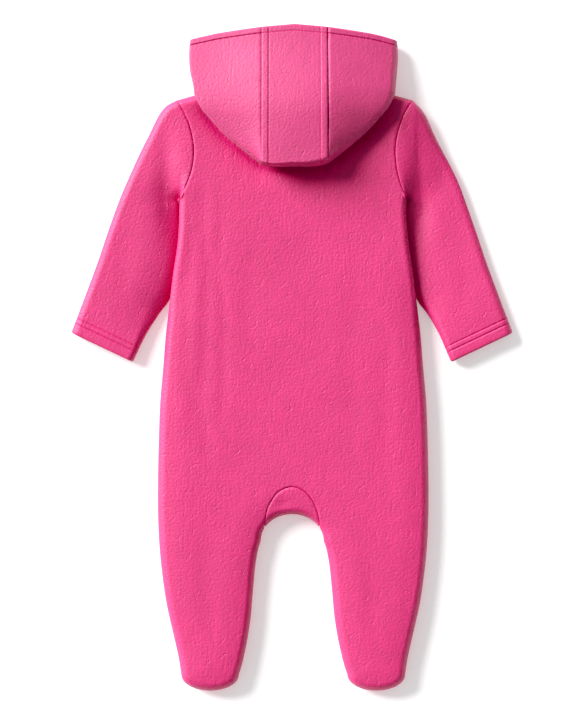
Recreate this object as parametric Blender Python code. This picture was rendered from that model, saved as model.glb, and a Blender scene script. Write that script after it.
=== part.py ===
"""Baby hooded romper in thick knit, lying face down with its hood folded down on the back.

Tables and sizes are in millimetres. "up" is measured from the foot end towards the hood, "out"
from the centre line towards either side, and "high" from the surface that the romper lies on.
Every cloth piece is a wall whose outer face is worked out from the outline and two height rules,
one for the layer on top and one for the layer underneath.
"""

import math

import bmesh
import bpy
import numpy as np

MM = 0.001

# Cloth
WALL = 2.0
SEAM_GAP = 0.3

# Lengths, up from the foot end
LENGTH = 626.0
NECK_SIDE_UP = 568.0
SHOULDER_UP = 555.3
UNDERARM_UP = 461.0
ARCH_TOP_UP = 192.0
ARCH_END_UP = 153.0
CROTCH_UP = 166.0
CROTCH_WIDEST_UP = 141.0
GUSSET_TURN = 84.0
ARCH_TURNS = np.append(np.linspace(0, 78, 7), GUSSET_TURN)
FOOT_CAP_UP = 15.0

# Widths, out from the centre line
NECK_SIDE_OUT = 66.0
SHOULDER_OUT = 111.0
CROTCH_OUT = 29.5
CROTCH_ROUND = CROTCH_UP - CROTCH_WIDEST_UP
ARCH_OUT = CROTCH_OUT * math.sqrt(1 - ((ARCH_END_UP - CROTCH_WIDEST_UP) / CROTCH_ROUND) ** 2)
ARMHOLE_BOW = 15.0
BACK_NECK_DROP = 16.0
FRONT_NECK_DROP = 42.0

SHOULDER_RUN = np.array([1, (SHOULDER_UP - NECK_SIDE_UP) / (SHOULDER_OUT - NECK_SIDE_OUT)])

HOOD_NECK = np.array([NECK_SIDE_OUT, NECK_SIDE_UP]) - 4 * SEAM_GAP * SHOULDER_RUN + (0, 2 * SEAM_GAP)

# Heights above the surface
BODY_HIGH = 20.0
SEAM_HIGH = 9.5
RIDE_UP = 5.2
SLEEVE_HIGH = 15.0
CUFF_HIGH = 13.0
TUCKED_HIGH = 3.2
HOOD_CROWN_HIGH = 37.0
HOOD_DOME = 2.0
HOOD_BROW_HIGH = 22.0
HOOD_FOLD_HIGH = 28.5
HOOD_SIDE_HIGH = 11.0

# How far in from an edge its roll reaches
BACK_ROLL = 18.0
FRONT_ROLL = 12.0
RIDE_ROLL = 14.0
TUCK_ROLL = 32.0
HOOD_ROLL = 22.0
HOOD_UNDER_ROLL = 13.0

# A point this close to an outline is on it
ON_LINE = 0.05
EDGE_SHARE = 0.02

# Zip
ZIP_OPEN_OUT = 5.0
ZIP_LOW_UP = 213.0
ZIP_LIFT = 2.6
TAPE_OUT, TAPE_LOW, TAPE_THICK, TAPE_TOP_UP = 14.0, 4.9, 0.8, 522.0
CHAIN_OUT, CHAIN_LOW, CHAIN_THICK = 2.5, 3.5, 1.1
SLIDER_UP, SLIDER_LONG, SLIDER_OUT, WING_THICK = 513.0, 9.0, 3.6, 1.0
SLIDER_LOW = 2.2
POST_OUT, POST_LONG = 1.1, 2.4
BRIDGE_OUT, BRIDGE_LONG, BRIDGE_BAR, BRIDGE_LEG = 0.6, 5.0, 0.6, 1.0
PIVOT_HIGH, PIN_THICK = 1.4, 0.5
PULL_LONG, PULL_OUT, PULL_THICK = 24.0, 2.6, 0.7
ARM_IN, ARM_OUT, WINDOW_LONG = 0.95, 1.8, 4.4

BODY_SIDE = (  # up, out
    (461, 106.5), (440, 107), (418, 109), (391, 113), (366, 116), (338, 119.5), (304, 122.3),
    (274, 125), (236, 126.5), (199, 127.3), (164, 127.2), (138, 126), (110, 123.3), (81, 119),
    (53, 112.7), (30, 107.6), (15, 105.3),
)
LEG_INSIDE = (  # up, out
    (141, 29.5), (134, 31.8), (124, 33.8), (95, 37), (67, 39.6), (39, 44.5), (21, 49), (15, 51),
)
SLEEVE = (  # along, outer out, outer up, inner out, inner up
    (0.00, 111, 555.3, 107.2, 461),
    (0.06, 121, 549.5, 107.4, 458.5),
    (0.20, 138, 519, 105.2, 444),
    (0.40, 157, 476, 105.6, 413),
    (0.60, 173.5, 431, 110.6, 381.5),
    (0.72, 183, 403, 118.5, 364.5),
    (0.80, 190, 384, 125.5, 355.5),
    (0.90, 199, 360, 138, 335),
    (1.00, 208, 336.5, 150, 308.5),
)
HOOD_FOLD = (  # out, up: where the hood folds back on itself over the back panel
    (0, 492), (22, 492.6), (31, 495), (39, 500.5), (52, 511), (66, 523), (79, 537), (89, 549.5),
    (94.3, 560.6),
)
HOOD_SIDE = (  # up, out: the fold beside the face opening
    (560.6, 94.3), (578, 96), (597, 97.3), (612, 96.5),
)
HOOD_BROW = (  # out, up: the edge of the face opening
    (0, 626), (34, 623), (57, 620), (76, 617), (96.5, 612),
)
HOOD_SEAM_OUT = 31.0
CHEEK = ((5, 534), (44, 590), (96.5, 612))  # out, up: start, pull and end of the cheek edge
NECK_SHARE = 0.6  # of the flap's lower edge, the part that is sewn to the front


# --- Curves -----------------------------------------------------------------------------------


def smooth(low, high, value):
    """0 at low, 1 at high and an easy slope between them."""
    share = np.clip((np.asarray(value, float) - low) / (high - low), 0, 1)
    return share * share * (3 - 2 * share)


def roll(distance, reach):
    """How much of its full height a rounded edge has at this distance in from the edge."""
    share = np.clip(distance / reach, 0, 1)
    return np.sqrt(1 - (1 - share) ** 2)


def through(table, at, column=1):
    """The column's value on a smooth curve through the table's rows, by their first column."""
    rows = np.array(sorted(table), float)
    keys, values = rows[:, 0], rows[:, column]
    slopes = np.gradient(values, keys)
    at = np.clip(np.asarray(at, float), keys[0], keys[-1])
    i = np.clip(np.searchsorted(keys, at) - 1, 0, len(keys) - 2)
    gap = keys[i + 1] - keys[i]
    t = (at - keys[i]) / gap
    return (
        (2 * t**3 - 3 * t**2 + 1) * values[i]
        + (t**3 - 2 * t**2 + t) * gap * slopes[i]
        + (3 * t**2 - 2 * t**3) * values[i + 1]
        + (t**3 - t**2) * gap * slopes[i + 1]
    )


def mixed(a, b, share):
    return a + (b - a) * share


def pair(out, up):
    return np.stack(np.broadcast_arrays(np.asarray(out, float), np.asarray(up, float)), axis=-1)


def distance(points, line):
    """How far each point lies from a line of short straight runs."""
    start, run = line[:-1], np.diff(line, axis=0)
    away = points[:, None] - start
    along = np.clip((away * run).sum(2) / (run * run).sum(1), 0, 1)
    nearest = np.linalg.norm(away - along[..., None] * run, axis=2).min(1)
    return np.maximum(nearest - ON_LINE, 0)


def ellipse_out(up, middle, half_up, half_out):
    return half_out * np.sqrt(np.clip(1 - ((up - middle) / half_up) ** 2, 0, 1))


# --- Outline ----------------------------------------------------------------------------------


def side(up):
    return through(BODY_SIDE, up)


def inside(up):
    """The inner edge of a leg, up to the top of the crotch."""
    crotch = ellipse_out(up, CROTCH_WIDEST_UP, CROTCH_ROUND, CROTCH_OUT)
    return np.where(up > CROTCH_WIDEST_UP, crotch, through(LEG_INSIDE, np.minimum(up, CROTCH_WIDEST_UP)))


def sleeve_edges(along):
    """The outer and the inner edge of a sleeve in plan."""
    outer = pair(through(SLEEVE, along, 1), through(SLEEVE, along, 2))
    inner = pair(through(SLEEVE, along, 3), through(SLEEVE, along, 4))
    return outer, inner


def bow(down):
    """How far the armhole seam bows in towards the body."""
    return ARMHOLE_BOW * 4 * down * (1 - down) ** 2 / (1.03 - down)


def armhole(down):
    """The armhole seam, from the shoulder (0) to the underarm (1)."""
    return pair(mixed(SHOULDER_OUT, BODY_SIDE[0][1], down) - bow(down), mixed(SHOULDER_UP, UNDERARM_UP, down))


def neckline(out, drop, corner=(NECK_SIDE_OUT, NECK_SIDE_UP)):
    return corner[1] - drop * np.sqrt(np.clip(1 - (out / corner[0]) ** 2, 0, 1))


def arch(turn):
    """The gusset seam: 0 at its top, 90 degrees where it meets the leg's inner edge."""
    return pair(ARCH_OUT * np.sin(turn), ARCH_END_UP + (ARCH_TOP_UP - ARCH_END_UP) * np.cos(turn))


def crotch(turn):
    """The crotch edge, on the same turns as arch()."""
    last = math.acos((ARCH_END_UP - CROTCH_WIDEST_UP) / CROTCH_ROUND)
    turn = turn * last / (math.pi / 2)
    return pair(CROTCH_OUT * np.sin(turn), CROTCH_WIDEST_UP + CROTCH_ROUND * np.cos(turn))


def foot_cap(across, down):
    """The round end of a foot: across is -1 to 1 over its width, down is 0 to 1 towards the tip."""
    outer, inner = side(FOOT_CAP_UP), inside(np.array(FOOT_CAP_UP))
    out = (outer + inner) / 2 + (outer - inner) / 2 * across * np.sqrt(1 - down**2 / 2)
    return pair(out, FOOT_CAP_UP * (1 - down * np.sqrt(1 - across**2 / 2)))


def outline_lines():
    """The lines that the heights are measured from."""
    steps = np.linspace(0, 1, 41)
    body = mixed(UNDERARM_UP, FOOT_CAP_UP, steps)
    tip = foot_cap(np.cos(steps * math.pi), np.zeros(41))
    round_tip = np.stack([tip[:, 0], FOOT_CAP_UP * (1 - np.sin(steps * math.pi))], axis=-1)
    leg = mixed(FOOT_CAP_UP, CROTCH_WIDEST_UP, steps)
    turns = np.linspace(math.pi / 2, 0, 21)
    top = pair(CROTCH_OUT * np.sin(turns), CROTCH_WIDEST_UP + CROTCH_ROUND * np.cos(turns))
    outer, inner = sleeve_edges(steps)
    return {
        "side": np.concatenate([pair(side(body), body), round_tip[1:-1], pair(inside(leg), leg), top[1:]]),
        "over": np.concatenate([[(NECK_SIDE_OUT, NECK_SIDE_UP)], outer]),
        "perch": np.array([HOOD_NECK - 5 * SHOULDER_RUN, HOOD_NECK + 50 * SHOULDER_RUN]),
        "under": inner,
        "hood": np.concatenate([hood_fold(steps), hood_side(steps)[1:]]),
    }


def hood_fold(along):
    """The hood's lower fold, from the centre line to the shoulder, evenly along its width."""
    out = np.asarray(along, float) * HOOD_FOLD[-1][0]
    return pair(out, through(HOOD_FOLD, out))


def hood_side(along):
    up = mixed(HOOD_SIDE[0][0], HOOD_SIDE[-1][0], np.asarray(along, float))
    return pair(through(HOOD_SIDE, up), up)


LINES = outline_lines()


# --- Heights ----------------------------------------------------------------------------------
# Each rule returns the height and a share, which is 0 where the cloth turns straight down at an edge.


def riding(up):
    """1 where the body's side rides up over the sleeve."""
    return smooth(UNDERARM_UP, 440, up) * smooth(342, 372, up)


def seam_high(up):
    return SEAM_HIGH + RIDE_UP * riding(up)


def body_top(plan, gap=SEAM_GAP):
    share = roll(distance(plan, LINES["side"]), BACK_ROLL) * roll(distance(plan, LINES["over"]), BACK_ROLL)
    return pair(mixed(seam_high(plan[:, 1]) + gap / 2, BODY_HIGH, share), share)


def body_bottom(plan, gap=SEAM_GAP):
    out, up = plan.T
    reach = FRONT_ROLL + RIDE_ROLL * riding(up)
    share = roll(distance(plan, LINES["side"]), reach) * roll(distance(plan, LINES["over"]), FRONT_ROLL)
    lift = ZIP_LIFT * smooth(24, 7, out) * smooth(ARCH_TOP_UP, ZIP_LOW_UP, up)
    return pair((seam_high(up) - gap / 2) * (1 - share) + lift, share)


def sleeve_heights(plan, across, along, top):
    """Heights on a sleeve: across is 0 at its outer edge and 1 at its inner one."""
    tucked = smooth(0, 0.12, along) * smooth(0.98, 0.72, along)
    inner = mixed(mixed(SEAM_HIGH, CUFF_HIGH / 2, smooth(0.6, 1, along)), TUCKED_HIGH, tucked)
    edge = mixed(mixed(SEAM_HIGH, CUFF_HIGH / 2, along), inner, smooth(0.2, 1, across))
    over = distance(plan, LINES["over"])
    under = distance(plan, LINES["under"])
    if not top:
        share = roll(over, FRONT_ROLL) * roll(under, mixed(FRONT_ROLL, 5.0, tucked))
        return pair(edge * (1 - share), share)
    high = mixed(mixed(BODY_HIGH, SLEEVE_HIGH, smooth(0, 0.35, along)), CUFF_HIGH, smooth(0.5, 1, along))
    share = roll(over, BACK_ROLL) * roll(under, mixed(BACK_ROLL, TUCK_ROLL, tucked))
    return pair(mixed(edge, high, share), share)


def hood_fold_high(up):
    return mixed(HOOD_FOLD_HIGH, HOOD_SIDE_HIGH, smooth(545, 582, up))


def hood_top(plan):
    out, up = plan.T
    crown = mixed(HOOD_CROWN_HIGH, HOOD_BROW_HIGH, smooth(540, 632, up)) + HOOD_DOME * smooth(70, 0, out)
    share = roll(distance(plan, LINES["hood"]), HOOD_ROLL)
    return pair(mixed(hood_fold_high(up), crown, share), share)


def hood_under(plan, beyond_shoulder):
    """The hood's lower layer: on the back panel, or beyond the shoulder, where it drops to the surface."""
    up = plan[:, 1]
    shoulder = distance(plan, LINES["perch"])
    lip = SEAM_HIGH + 1.5
    if beyond_shoulder:
        rest = lip * (1 - roll(shoulder, FRONT_ROLL))
    else:
        rest = mixed(lip, BODY_HIGH + SEAM_GAP, roll(shoulder, BACK_ROLL - 4))
    share = roll(distance(plan, LINES["hood"]), HOOD_UNDER_ROLL)
    return pair(mixed(hood_fold_high(up), rest, share), share * roll(shoulder, FRONT_ROLL))


# --- Patches ----------------------------------------------------------------------------------

BODY_COLUMNS = np.array([0, 1, 2, 3, 4.5, 6, 7.5, 9, 10, 11, 12]) / 12
NECK_COLUMN = 7.5 / 12  # the column that meets the neck's side
NEAR_END = np.array([0, 0.25, 0.48, 0.68, 0.83, 0.93, 0.985, 1])  # steps crowded towards a fold or a rim
NEAR_START = 1 - NEAR_END[::-1]


def bunched(width, coordinate, open_inside):
    """Where a column lies across a width: crowded in the rolls at its outer edge and, on a leg, its
    inner one. open_inside is 1 on a leg and 0 where the width runs on past the centre line."""
    inner_zone = mixed((width - BACK_ROLL) / 3, BACK_ROLL, open_inside)
    quarter = np.clip(coordinate * 4, 0, 1)
    eased = mixed(quarter, 1 - np.cos(quarter * math.pi / 2), open_inside)
    middle = np.clip(coordinate * 2 - 0.5, 0, 1)
    last = np.clip(coordinate * 4 - 3, 0, 1)
    outer = BACK_ROLL * (np.sin(last * math.pi / 2))
    return (inner_zone * eased + (width - BACK_ROLL - inner_zone) * middle + outer) / width


def around(count):
    """Steps from 0 to 1, crowded at both ends."""
    return (1 - np.cos(np.linspace(0, math.pi, count + 1))) / 2


def coons(bottom, top, left, right, spread=None):
    """A patch between four edges, each a function of 0 to 1 that returns points in plan. spread, where
    given, says how far across each column lies."""

    def plan(u, v):
        u, v = u[:, None], v[:, None]
        columns = u[:, 0]
        u = u if spread is None else spread(columns)[:, None]
        corners = [bottom(np.array([0.0, 1.0])), top(np.array([0.0, 1.0]))]
        flat = (
            (1 - u) * (1 - v) * corners[0][0] + u * (1 - v) * corners[0][1]
            + (1 - u) * v * corners[1][0] + u * v * corners[1][1]
        )
        ruled = (1 - v) * bottom(columns) + v * top(columns)
        return ruled + (1 - u) * left(v[:, 0]) + u * right(v[:, 0]) - flat

    return plan


def line_between(start, end):
    return lambda share: np.array(start, float) + np.outer(share, np.subtract(end, start))


def raised(plan, heights, hand):
    """Points in space from a plan and a height rule, on the right (hand 1) or the left (-1)."""

    def place(u, v):
        flat = plan(u, v)
        return np.column_stack([hand * flat[:, 0], flat[:, 1], heights(flat)])

    return place


def body_patches(hand, heights, centre, neck_drop, first_turn, seam_shift):
    """The patches of half a front or back: upper, torso, crotch, leg and foot."""

    def level(u, up):
        width = side(up) - centre(up)
        return pair(centre(up) + width * bunched(width, u, 0), up)

    def torso(u, v):
        seam = crotch_zone(u, np.ones_like(u)) - level(u, np.full_like(u, ARCH_TOP_UP))
        return level(u, mixed(ARCH_TOP_UP, UNDERARM_UP, v)) + seam * (1 - v)[:, None]

    def low(u):
        return torso(u, np.ones_like(u))

    def high(u):
        neck = np.clip(u / NECK_COLUMN, 0, 1)
        slope = np.clip((u - NECK_COLUMN) / (1 - NECK_COLUMN), 0, 1)
        start = math.asin(centre(NECK_SIDE_UP) / NECK_SIDE_OUT)
        out = NECK_SIDE_OUT * np.sin(mixed(start, math.pi / 2, neck))
        shoulder = line_between((NECK_SIDE_OUT, NECK_SIDE_UP), arm(np.ones(1))[0])(slope)
        return np.where(slope[:, None] > 0, shoulder, pair(out, neckline(out, neck_drop)))

    def spread(u):
        out = low(u)[:, 0]
        ends = low(np.array([0.0, 1.0]))[:, 0]
        return (out - ends[0]) / (ends[1] - ends[0])

    def middle(v):
        up = mixed(UNDERARM_UP, neckline(centre(NECK_SIDE_UP), neck_drop), v)
        return pair(centre(up), up)

    def arm(v):
        return armhole(1 - v) - np.outer(np.clip(v * 20, 0, 1), SHOULDER_RUN * SEAM_GAP)

    def crotch_zone(u, v):
        turn = mixed(math.pi / 2, first_turn, v)
        seam = arch(turn)
        seam += seam_shift * np.column_stack([np.sin(turn), np.cos(turn)])
        edge_up = mixed(ARCH_END_UP, ARCH_TOP_UP, v)
        edge = pair(side(edge_up), edge_up)
        width = edge[:, 0] - seam[:, 0]
        return mixed(seam, edge, bunched(width, u, 1 - v)[:, None])

    def leg(u, v):
        up = mixed(FOOT_CAP_UP, ARCH_END_UP, v)
        inner = inside(up) + seam_shift * smooth(CROTCH_WIDEST_UP, ARCH_END_UP, up)
        width = side(up) - inner
        return pair(inner + width * bunched(width, u, 1), up)

    def foot(u, v):
        width = side(FOOT_CAP_UP) - inside(np.array(FOOT_CAP_UP))
        return foot_cap(2 * bunched(width, u, 1) - 1, v)

    rows = {
        torso: np.array([0, 0.08, 0.24, 0.43, 0.62, 0.81, 1]),
        coons(low, high, middle, arm, spread): around(8),
        crotch_zone: 1 - np.append(90, ARCH_TURNS[::-1]) / 90,
        leg: np.linspace(0, 1, 6),
        foot: np.array([0, 0.45, 0.75, 0.94, 1]),
    }
    seams = (("left",), ("left", "right", "top"), (), (), ())
    return [
        (raised(plan, heights, hand), BODY_COLUMNS, places, sewn)
        for (plan, places), sewn in zip(rows.items(), seams)
    ]


def gusset_patches(top):
    """The gusset between its seam and the crotch edge, on top or underneath."""
    turns = np.concatenate([-ARCH_TURNS[:0:-1], ARCH_TURNS])

    def plan(u, v):
        turn = mixed(-GUSSET_TURN, GUSSET_TURN, u) * math.pi / 180
        seam, edge = arch(np.abs(turn)), crotch(np.abs(turn))
        toward = edge - seam
        seam = seam + toward * (SEAM_GAP / np.linalg.norm(toward, axis=1))[:, None]
        flat = mixed(seam, edge, np.sin(v * math.pi / 2)[:, None])
        return np.column_stack([flat[:, 0] * np.sign(turn), flat[:, 1]])

    def heights(flat):
        return (body_top if top else body_bottom)(np.column_stack([np.abs(flat[:, 0]), flat[:, 1]]), 0)

    columns = (turns / GUSSET_TURN + 1) / 2
    return [(raised(plan, heights, 1), columns, np.linspace(0, 1, 5), ())]


def sleeve_patches(hand, top):
    def place(u, v):
        across = (1 - np.cos(u * math.pi)) / 2
        outer, inner = sleeve_edges(v)
        plan = mixed(outer, inner, across[:, None]) - pair(bow(across) * (1 - v) ** (4 + 26 * across), 0)
        return np.column_stack([hand * plan[:, 0], plan[:, 1], sleeve_heights(plan, across, v, top)])

    rings = np.array([0, 0.05, 0.12, 0.22, 0.4, 0.58, 0.72, 0.84, 1])
    return [(place, np.linspace(0, 1, 9), rings, ("bottom", "top"))]


def hood_side_patches(hand):
    """A side panel of the hood: top layer, the layer on the back, and the flap beside the face."""
    start = HOOD_SEAM_OUT + SEAM_GAP / 2
    width = HOOD_FOLD[-1][0] - start
    brow_width = HOOD_BROW[-1][0] - start

    def fold(u):
        out = start + u * width
        return pair(out, through(HOOD_FOLD, out))

    def brow(u):
        out = start + u * brow_width
        return pair(out, through(HOOD_BROW, out))

    def back_neck(u):
        out = mixed(start, HOOD_NECK[0], u)
        return pair(out, neckline(out, BACK_NECK_DROP, HOOD_NECK))

    def front_neck(u):
        turn = mixed(math.asin(CHEEK[0][0] / NECK_SIDE_OUT), math.pi / 2, u)
        return HOOD_NECK * pair(np.sin(turn), 1) - pair(0, (FRONT_NECK_DROP - 3 * SEAM_GAP) * np.cos(turn))

    def lower(u):
        shoulder = line_between(neck_corner, corner)(np.clip((u - NECK_SHARE) / (1 - NECK_SHARE), 0, 1))
        return np.where(u[:, None] > NECK_SHARE, shoulder, front_neck(np.clip(u / NECK_SHARE, 0, 1)))

    def cheek(u):
        start, pull, end = (np.array(point, float) for point in CHEEK)
        u = u[:, None]
        return (1 - u) ** 2 * start + 2 * u * (1 - u) * pull + u**2 * end

    corner, neck_corner = fold(np.array([1.0]))[0], HOOD_NECK
    top = coons(fold, brow, line_between(fold(np.zeros(1))[0], brow(np.zeros(1))[0]), hood_side)
    under = coons(back_neck, fold, line_between(back_neck(np.zeros(1))[0], fold(np.zeros(1))[0]),
                  line_between(neck_corner, corner))
    flap = coons(lower, cheek, line_between(front_neck(np.zeros(1))[0], CHEEK[0]), hood_side)
    sewn = BODY_COLUMNS[BODY_COLUMNS <= NECK_COLUMN] / NECK_COLUMN
    flap_columns = np.concatenate([NECK_SHARE * sewn, NECK_SHARE + (1 - NECK_SHARE) * NEAR_END[1:]])
    return [
        (raised(top, hood_top, hand), NEAR_END, NEAR_START, ("left", "top")),
        (raised(under, lambda flat: hood_under(flat, False), hand), NEAR_END, NEAR_END, ("left", "bottom")),
        (raised(flap, lambda flat: hood_under(flat, True), hand), flap_columns, NEAR_START,
         ("bottom", "left", "top")),
    ]


def hood_gusset_patches():
    """The centre strip of the hood, from the back neck down to the fold and up to the brow."""
    half = HOOD_SEAM_OUT - SEAM_GAP / 2

    def along(first, last):
        def plan(u, v):
            out = mixed(-half, half, u)
            flat = mixed(first(np.abs(out)), last(np.abs(out)), v)
            return pair(out, flat)

        return plan

    def heights(rule):
        return lambda flat: rule(np.column_stack([np.abs(flat[:, 0]), flat[:, 1]]))

    def fold(out):
        return through(HOOD_FOLD, out)

    columns = np.linspace(0, 1, 7)
    top = along(fold, lambda out: through(HOOD_BROW, out))
    under = along(lambda out: neckline(out, BACK_NECK_DROP, HOOD_NECK), fold)
    lower = heights(lambda flat: hood_under(flat, False))
    return [
        (raised(top, heights(hood_top), 1), columns, NEAR_START, ("left", "right", "top")),
        (raised(under, lower, 1), columns, NEAR_END, ("left", "right", "bottom")),
    ]


# --- Solids -----------------------------------------------------------------------------------


def material(name, colour, roughness, metallic=0.0):
    made = bpy.data.materials.new(name)
    made.use_nodes = True
    shader = made.node_tree.nodes["Principled BSDF"]
    shader.inputs["Base Color"].default_value = (*colour, 1)
    shader.inputs["Roughness"].default_value = roughness
    shader.inputs["Metallic"].default_value = metallic
    return made


def stored(name, mesh, surface):
    mesh.shade_smooth()
    mesh.materials.append(surface)
    made = bpy.data.objects.new(name, mesh)
    bpy.context.scene.collection.objects.link(made)
    return made


def reversed_ring(ring):
    """The face turned over, still starting at the same corner so that it splits on the same diagonal."""
    return ring[:1] + ring[:0:-1]


def along(place, u, v, down):
    """The plan direction of a patch's grid line at each point, across it or, where down is set, down it."""
    step = 0.002
    u, v = np.clip(u, step, 1), np.clip(v, step, 1)
    run = place(u, v) - (place(u, v - step) if down else place(u - step, v))
    return run[:, :2] / np.linalg.norm(run[:, :2], axis=1)[:, None]


def facing(place, u, v, inset):
    """The way a patch faces at each point, read a little way in from its own edges."""
    step = 0.001
    u, v = np.clip(u, inset, 1 - inset), np.clip(v, inset, 1 - inset)
    along_u = place(u + step, v) - place(u - step, v)
    along_v = place(u, v + step) - place(u, v - step)
    way = np.cross(along_u[:, :3], along_v[:, :3])
    return way / np.linalg.norm(way, axis=1)[:, None]


def cloth(name, layers, surface):
    """A wall of cloth: layers lists (patches, whether their outer face looks up). Patches join where
    their edges meet, and the inner face lies one wall's thickness inside the outer one."""
    index, points, ways, faces = {}, [], [], []
    for patches, looks_up in layers:
        for place, columns, rows, seams in patches:
            u, v = (grid.ravel() for grid in np.meshgrid(columns, rows))
            at, share = np.split(place(u, v), [3], axis=1)
            way = facing(place, u, v, 0.002)
            turned = (way[:, 2].mean() > 0) != looks_up
            for inset in (0.02, 0.06, 0.14):
                sloped = facing(place, u, v, inset)
                flat = np.linalg.norm(sloped[:, :2], axis=1)
                use = (share[:, 0] < EDGE_SHARE) & (flat > 0.05)
                way[use] = sloped[use] * (1, 1, 0) / flat[use, None]
            way = -way if turned else way
            for seam, on, down in (("left", u, 1), ("right", 1 - u, 1), ("bottom", v, 0), ("top", 1 - v, 0)):
                run = along(place, u, v, down)
                flat = np.column_stack([(way[:, :2] * run).sum(1)[:, None] * run, way[:, 2]])
                least = np.where(share[:, 0] < EDGE_SHARE, 0.66, 0.5)
                sewn = (on == 0) & (np.linalg.norm(flat, axis=1) > least) & (seam in seams)
                way[sewn] = flat[sewn]
            way /= np.linalg.norm(way, axis=1)[:, None]
            corner = []
            for point, direction in zip(at, way):
                key = tuple(np.floor(point / ON_LINE + 0.317))
                if key not in index:
                    index[key] = len(points)
                    points.append(point)
                    ways.append(np.zeros(3))
                ways[index[key]] += direction
                corner.append(index[key])
            wide = len(columns)
            for row in range(len(rows) - 1):
                for column in range(wide - 1):
                    a = row * wide + column
                    ring = [corner[i] for i in (a, a + 1, a + wide + 1, a + wide)]
                    faces.append(reversed_ring(ring) if turned else ring)
    outer = np.array(points)
    ways = np.array(ways)
    inner = outer - WALL * ways / np.linalg.norm(ways, axis=1)[:, None]
    count = len(outer)
    sides = {}
    for ring in faces:
        for a, b in zip(ring, ring[1:] + ring[:1]):
            sides[(a, b)] = (b, a) not in sides
            if not sides[(a, b)]:
                sides[(b, a)] = False
    rim = [
        [b, a, a + count, b + count] if outer[a, 1] > outer[b, 1] else [a, a + count, b + count, b]
        for (a, b), edge in sides.items()
        if edge
    ]
    back = [[i + count for i in reversed_ring(ring)] for ring in faces]
    mesh = bpy.data.meshes.new(name)
    middle = np.array([0, LENGTH / 2, 0])
    mesh.from_pydata((np.concatenate([outer, inner]) - middle) * MM, [], faces + back + rim)
    return stored(name, mesh, surface)


def block(bm, low, high):
    """A box between two corners."""
    low, high = np.array(low, float), np.array(high, float)
    made = bmesh.ops.create_cube(bm, size=1)["verts"]
    bmesh.ops.scale(bm, verts=made, vec=high - low)
    bmesh.ops.translate(bm, verts=made, vec=(low + high) / 2)
    return made


def hardware(name, blocks, surface, pivot=(0, LENGTH / 2, 0)):
    """Boxes joined into one solid with its origin at pivot, each box given by its low and high corner."""
    made = None
    for number, (low, high) in enumerate(blocks):
        bm = bmesh.new()
        block(bm, np.subtract(low, pivot) * MM, np.subtract(high, pivot) * MM)
        mesh = bpy.data.meshes.new(f"{name}_{number}" if number else name)
        bm.to_mesh(mesh)
        bm.free()
        mesh.materials.append(surface)
        solid = bpy.data.objects.new(mesh.name, mesh)
        solid.location = np.subtract(pivot, (0, LENGTH / 2, 0)) * MM
        bpy.context.scene.collection.objects.link(solid)
        if made is None:
            made = solid
            continue
        solid.hide_render = True
        solid.display_type = "WIRE"
        join = made.modifiers.new(f"join_{number}", "BOOLEAN")
        join.operation = "UNION"
        join.object = solid
    return made


def zip_parts(tape, coil, metal):
    """The closed zip: tape, chain, slider and pull tab."""
    tape_high = TAPE_LOW + TAPE_THICK
    slider_low_up, slider_top_up = SLIDER_UP - SLIDER_LONG / 2, SLIDER_UP + SLIDER_LONG / 2
    slit_up = slider_low_up + 2
    hardware("zip_tape", [
        ((-TAPE_OUT, ZIP_LOW_UP - 4, TAPE_LOW), (TAPE_OUT, slit_up, tape_high)),
        ((-TAPE_OUT, slit_up - 1, TAPE_LOW), (-POST_OUT - 1, TAPE_TOP_UP, tape_high)),
        ((POST_OUT + 1, slit_up - 1, TAPE_LOW), (TAPE_OUT, TAPE_TOP_UP, tape_high)),
    ], tape)
    hardware("zip_chain", [
        ((-CHAIN_OUT, ZIP_LOW_UP + 2, CHAIN_LOW), (CHAIN_OUT, slit_up, CHAIN_LOW + CHAIN_THICK)),
    ], coil)
    wing_high = SLIDER_LOW + WING_THICK
    upper_low = tape_high + SEAM_GAP
    bridge_low = 0.0
    first, last = SLIDER_UP - BRIDGE_LONG / 2, SLIDER_UP + BRIDGE_LONG / 2
    hardware("zip_slider", [
        ((-SLIDER_OUT, slider_low_up, SLIDER_LOW), (SLIDER_OUT, slider_top_up, wing_high)),
        ((-SLIDER_OUT, slider_low_up, upper_low), (SLIDER_OUT, slider_top_up, upper_low + WING_THICK)),
        ((-POST_OUT, slit_up + 1, SLIDER_LOW + 0.2), (POST_OUT, slit_up + 1 + POST_LONG, upper_low + 0.5)),
        ((-BRIDGE_OUT, first, bridge_low), (BRIDGE_OUT, first + BRIDGE_LEG, SLIDER_LOW + 0.2)),
        ((-BRIDGE_OUT, last - BRIDGE_LEG, bridge_low), (BRIDGE_OUT, last, SLIDER_LOW + 0.2)),
        ((-BRIDGE_OUT, first, bridge_low), (BRIDGE_OUT, last, bridge_low + BRIDGE_BAR)),
    ], metal)
    pull_low, pull_high = PIVOT_HIGH - PULL_THICK / 2, PIVOT_HIGH + PULL_THICK / 2
    pin = PIN_THICK / 2
    window_up = SLIDER_UP - WINDOW_LONG
    hardware("zip_pull", [
        ((-PULL_OUT, SLIDER_UP - PULL_LONG, pull_low), (PULL_OUT, window_up, pull_high)),
        ((-ARM_OUT, window_up - 1, pull_low), (-ARM_IN, SLIDER_UP + PULL_THICK / 2, pull_high)),
        ((ARM_IN, window_up - 1, pull_low), (ARM_OUT, SLIDER_UP + PULL_THICK / 2, pull_high)),
        ((-ARM_IN - 0.2, SLIDER_UP - pin, PIVOT_HIGH - pin), (ARM_IN + 0.2, SLIDER_UP + pin, PIVOT_HIGH + pin)),
    ], metal, (0, SLIDER_UP, PIVOT_HIGH))


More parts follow.
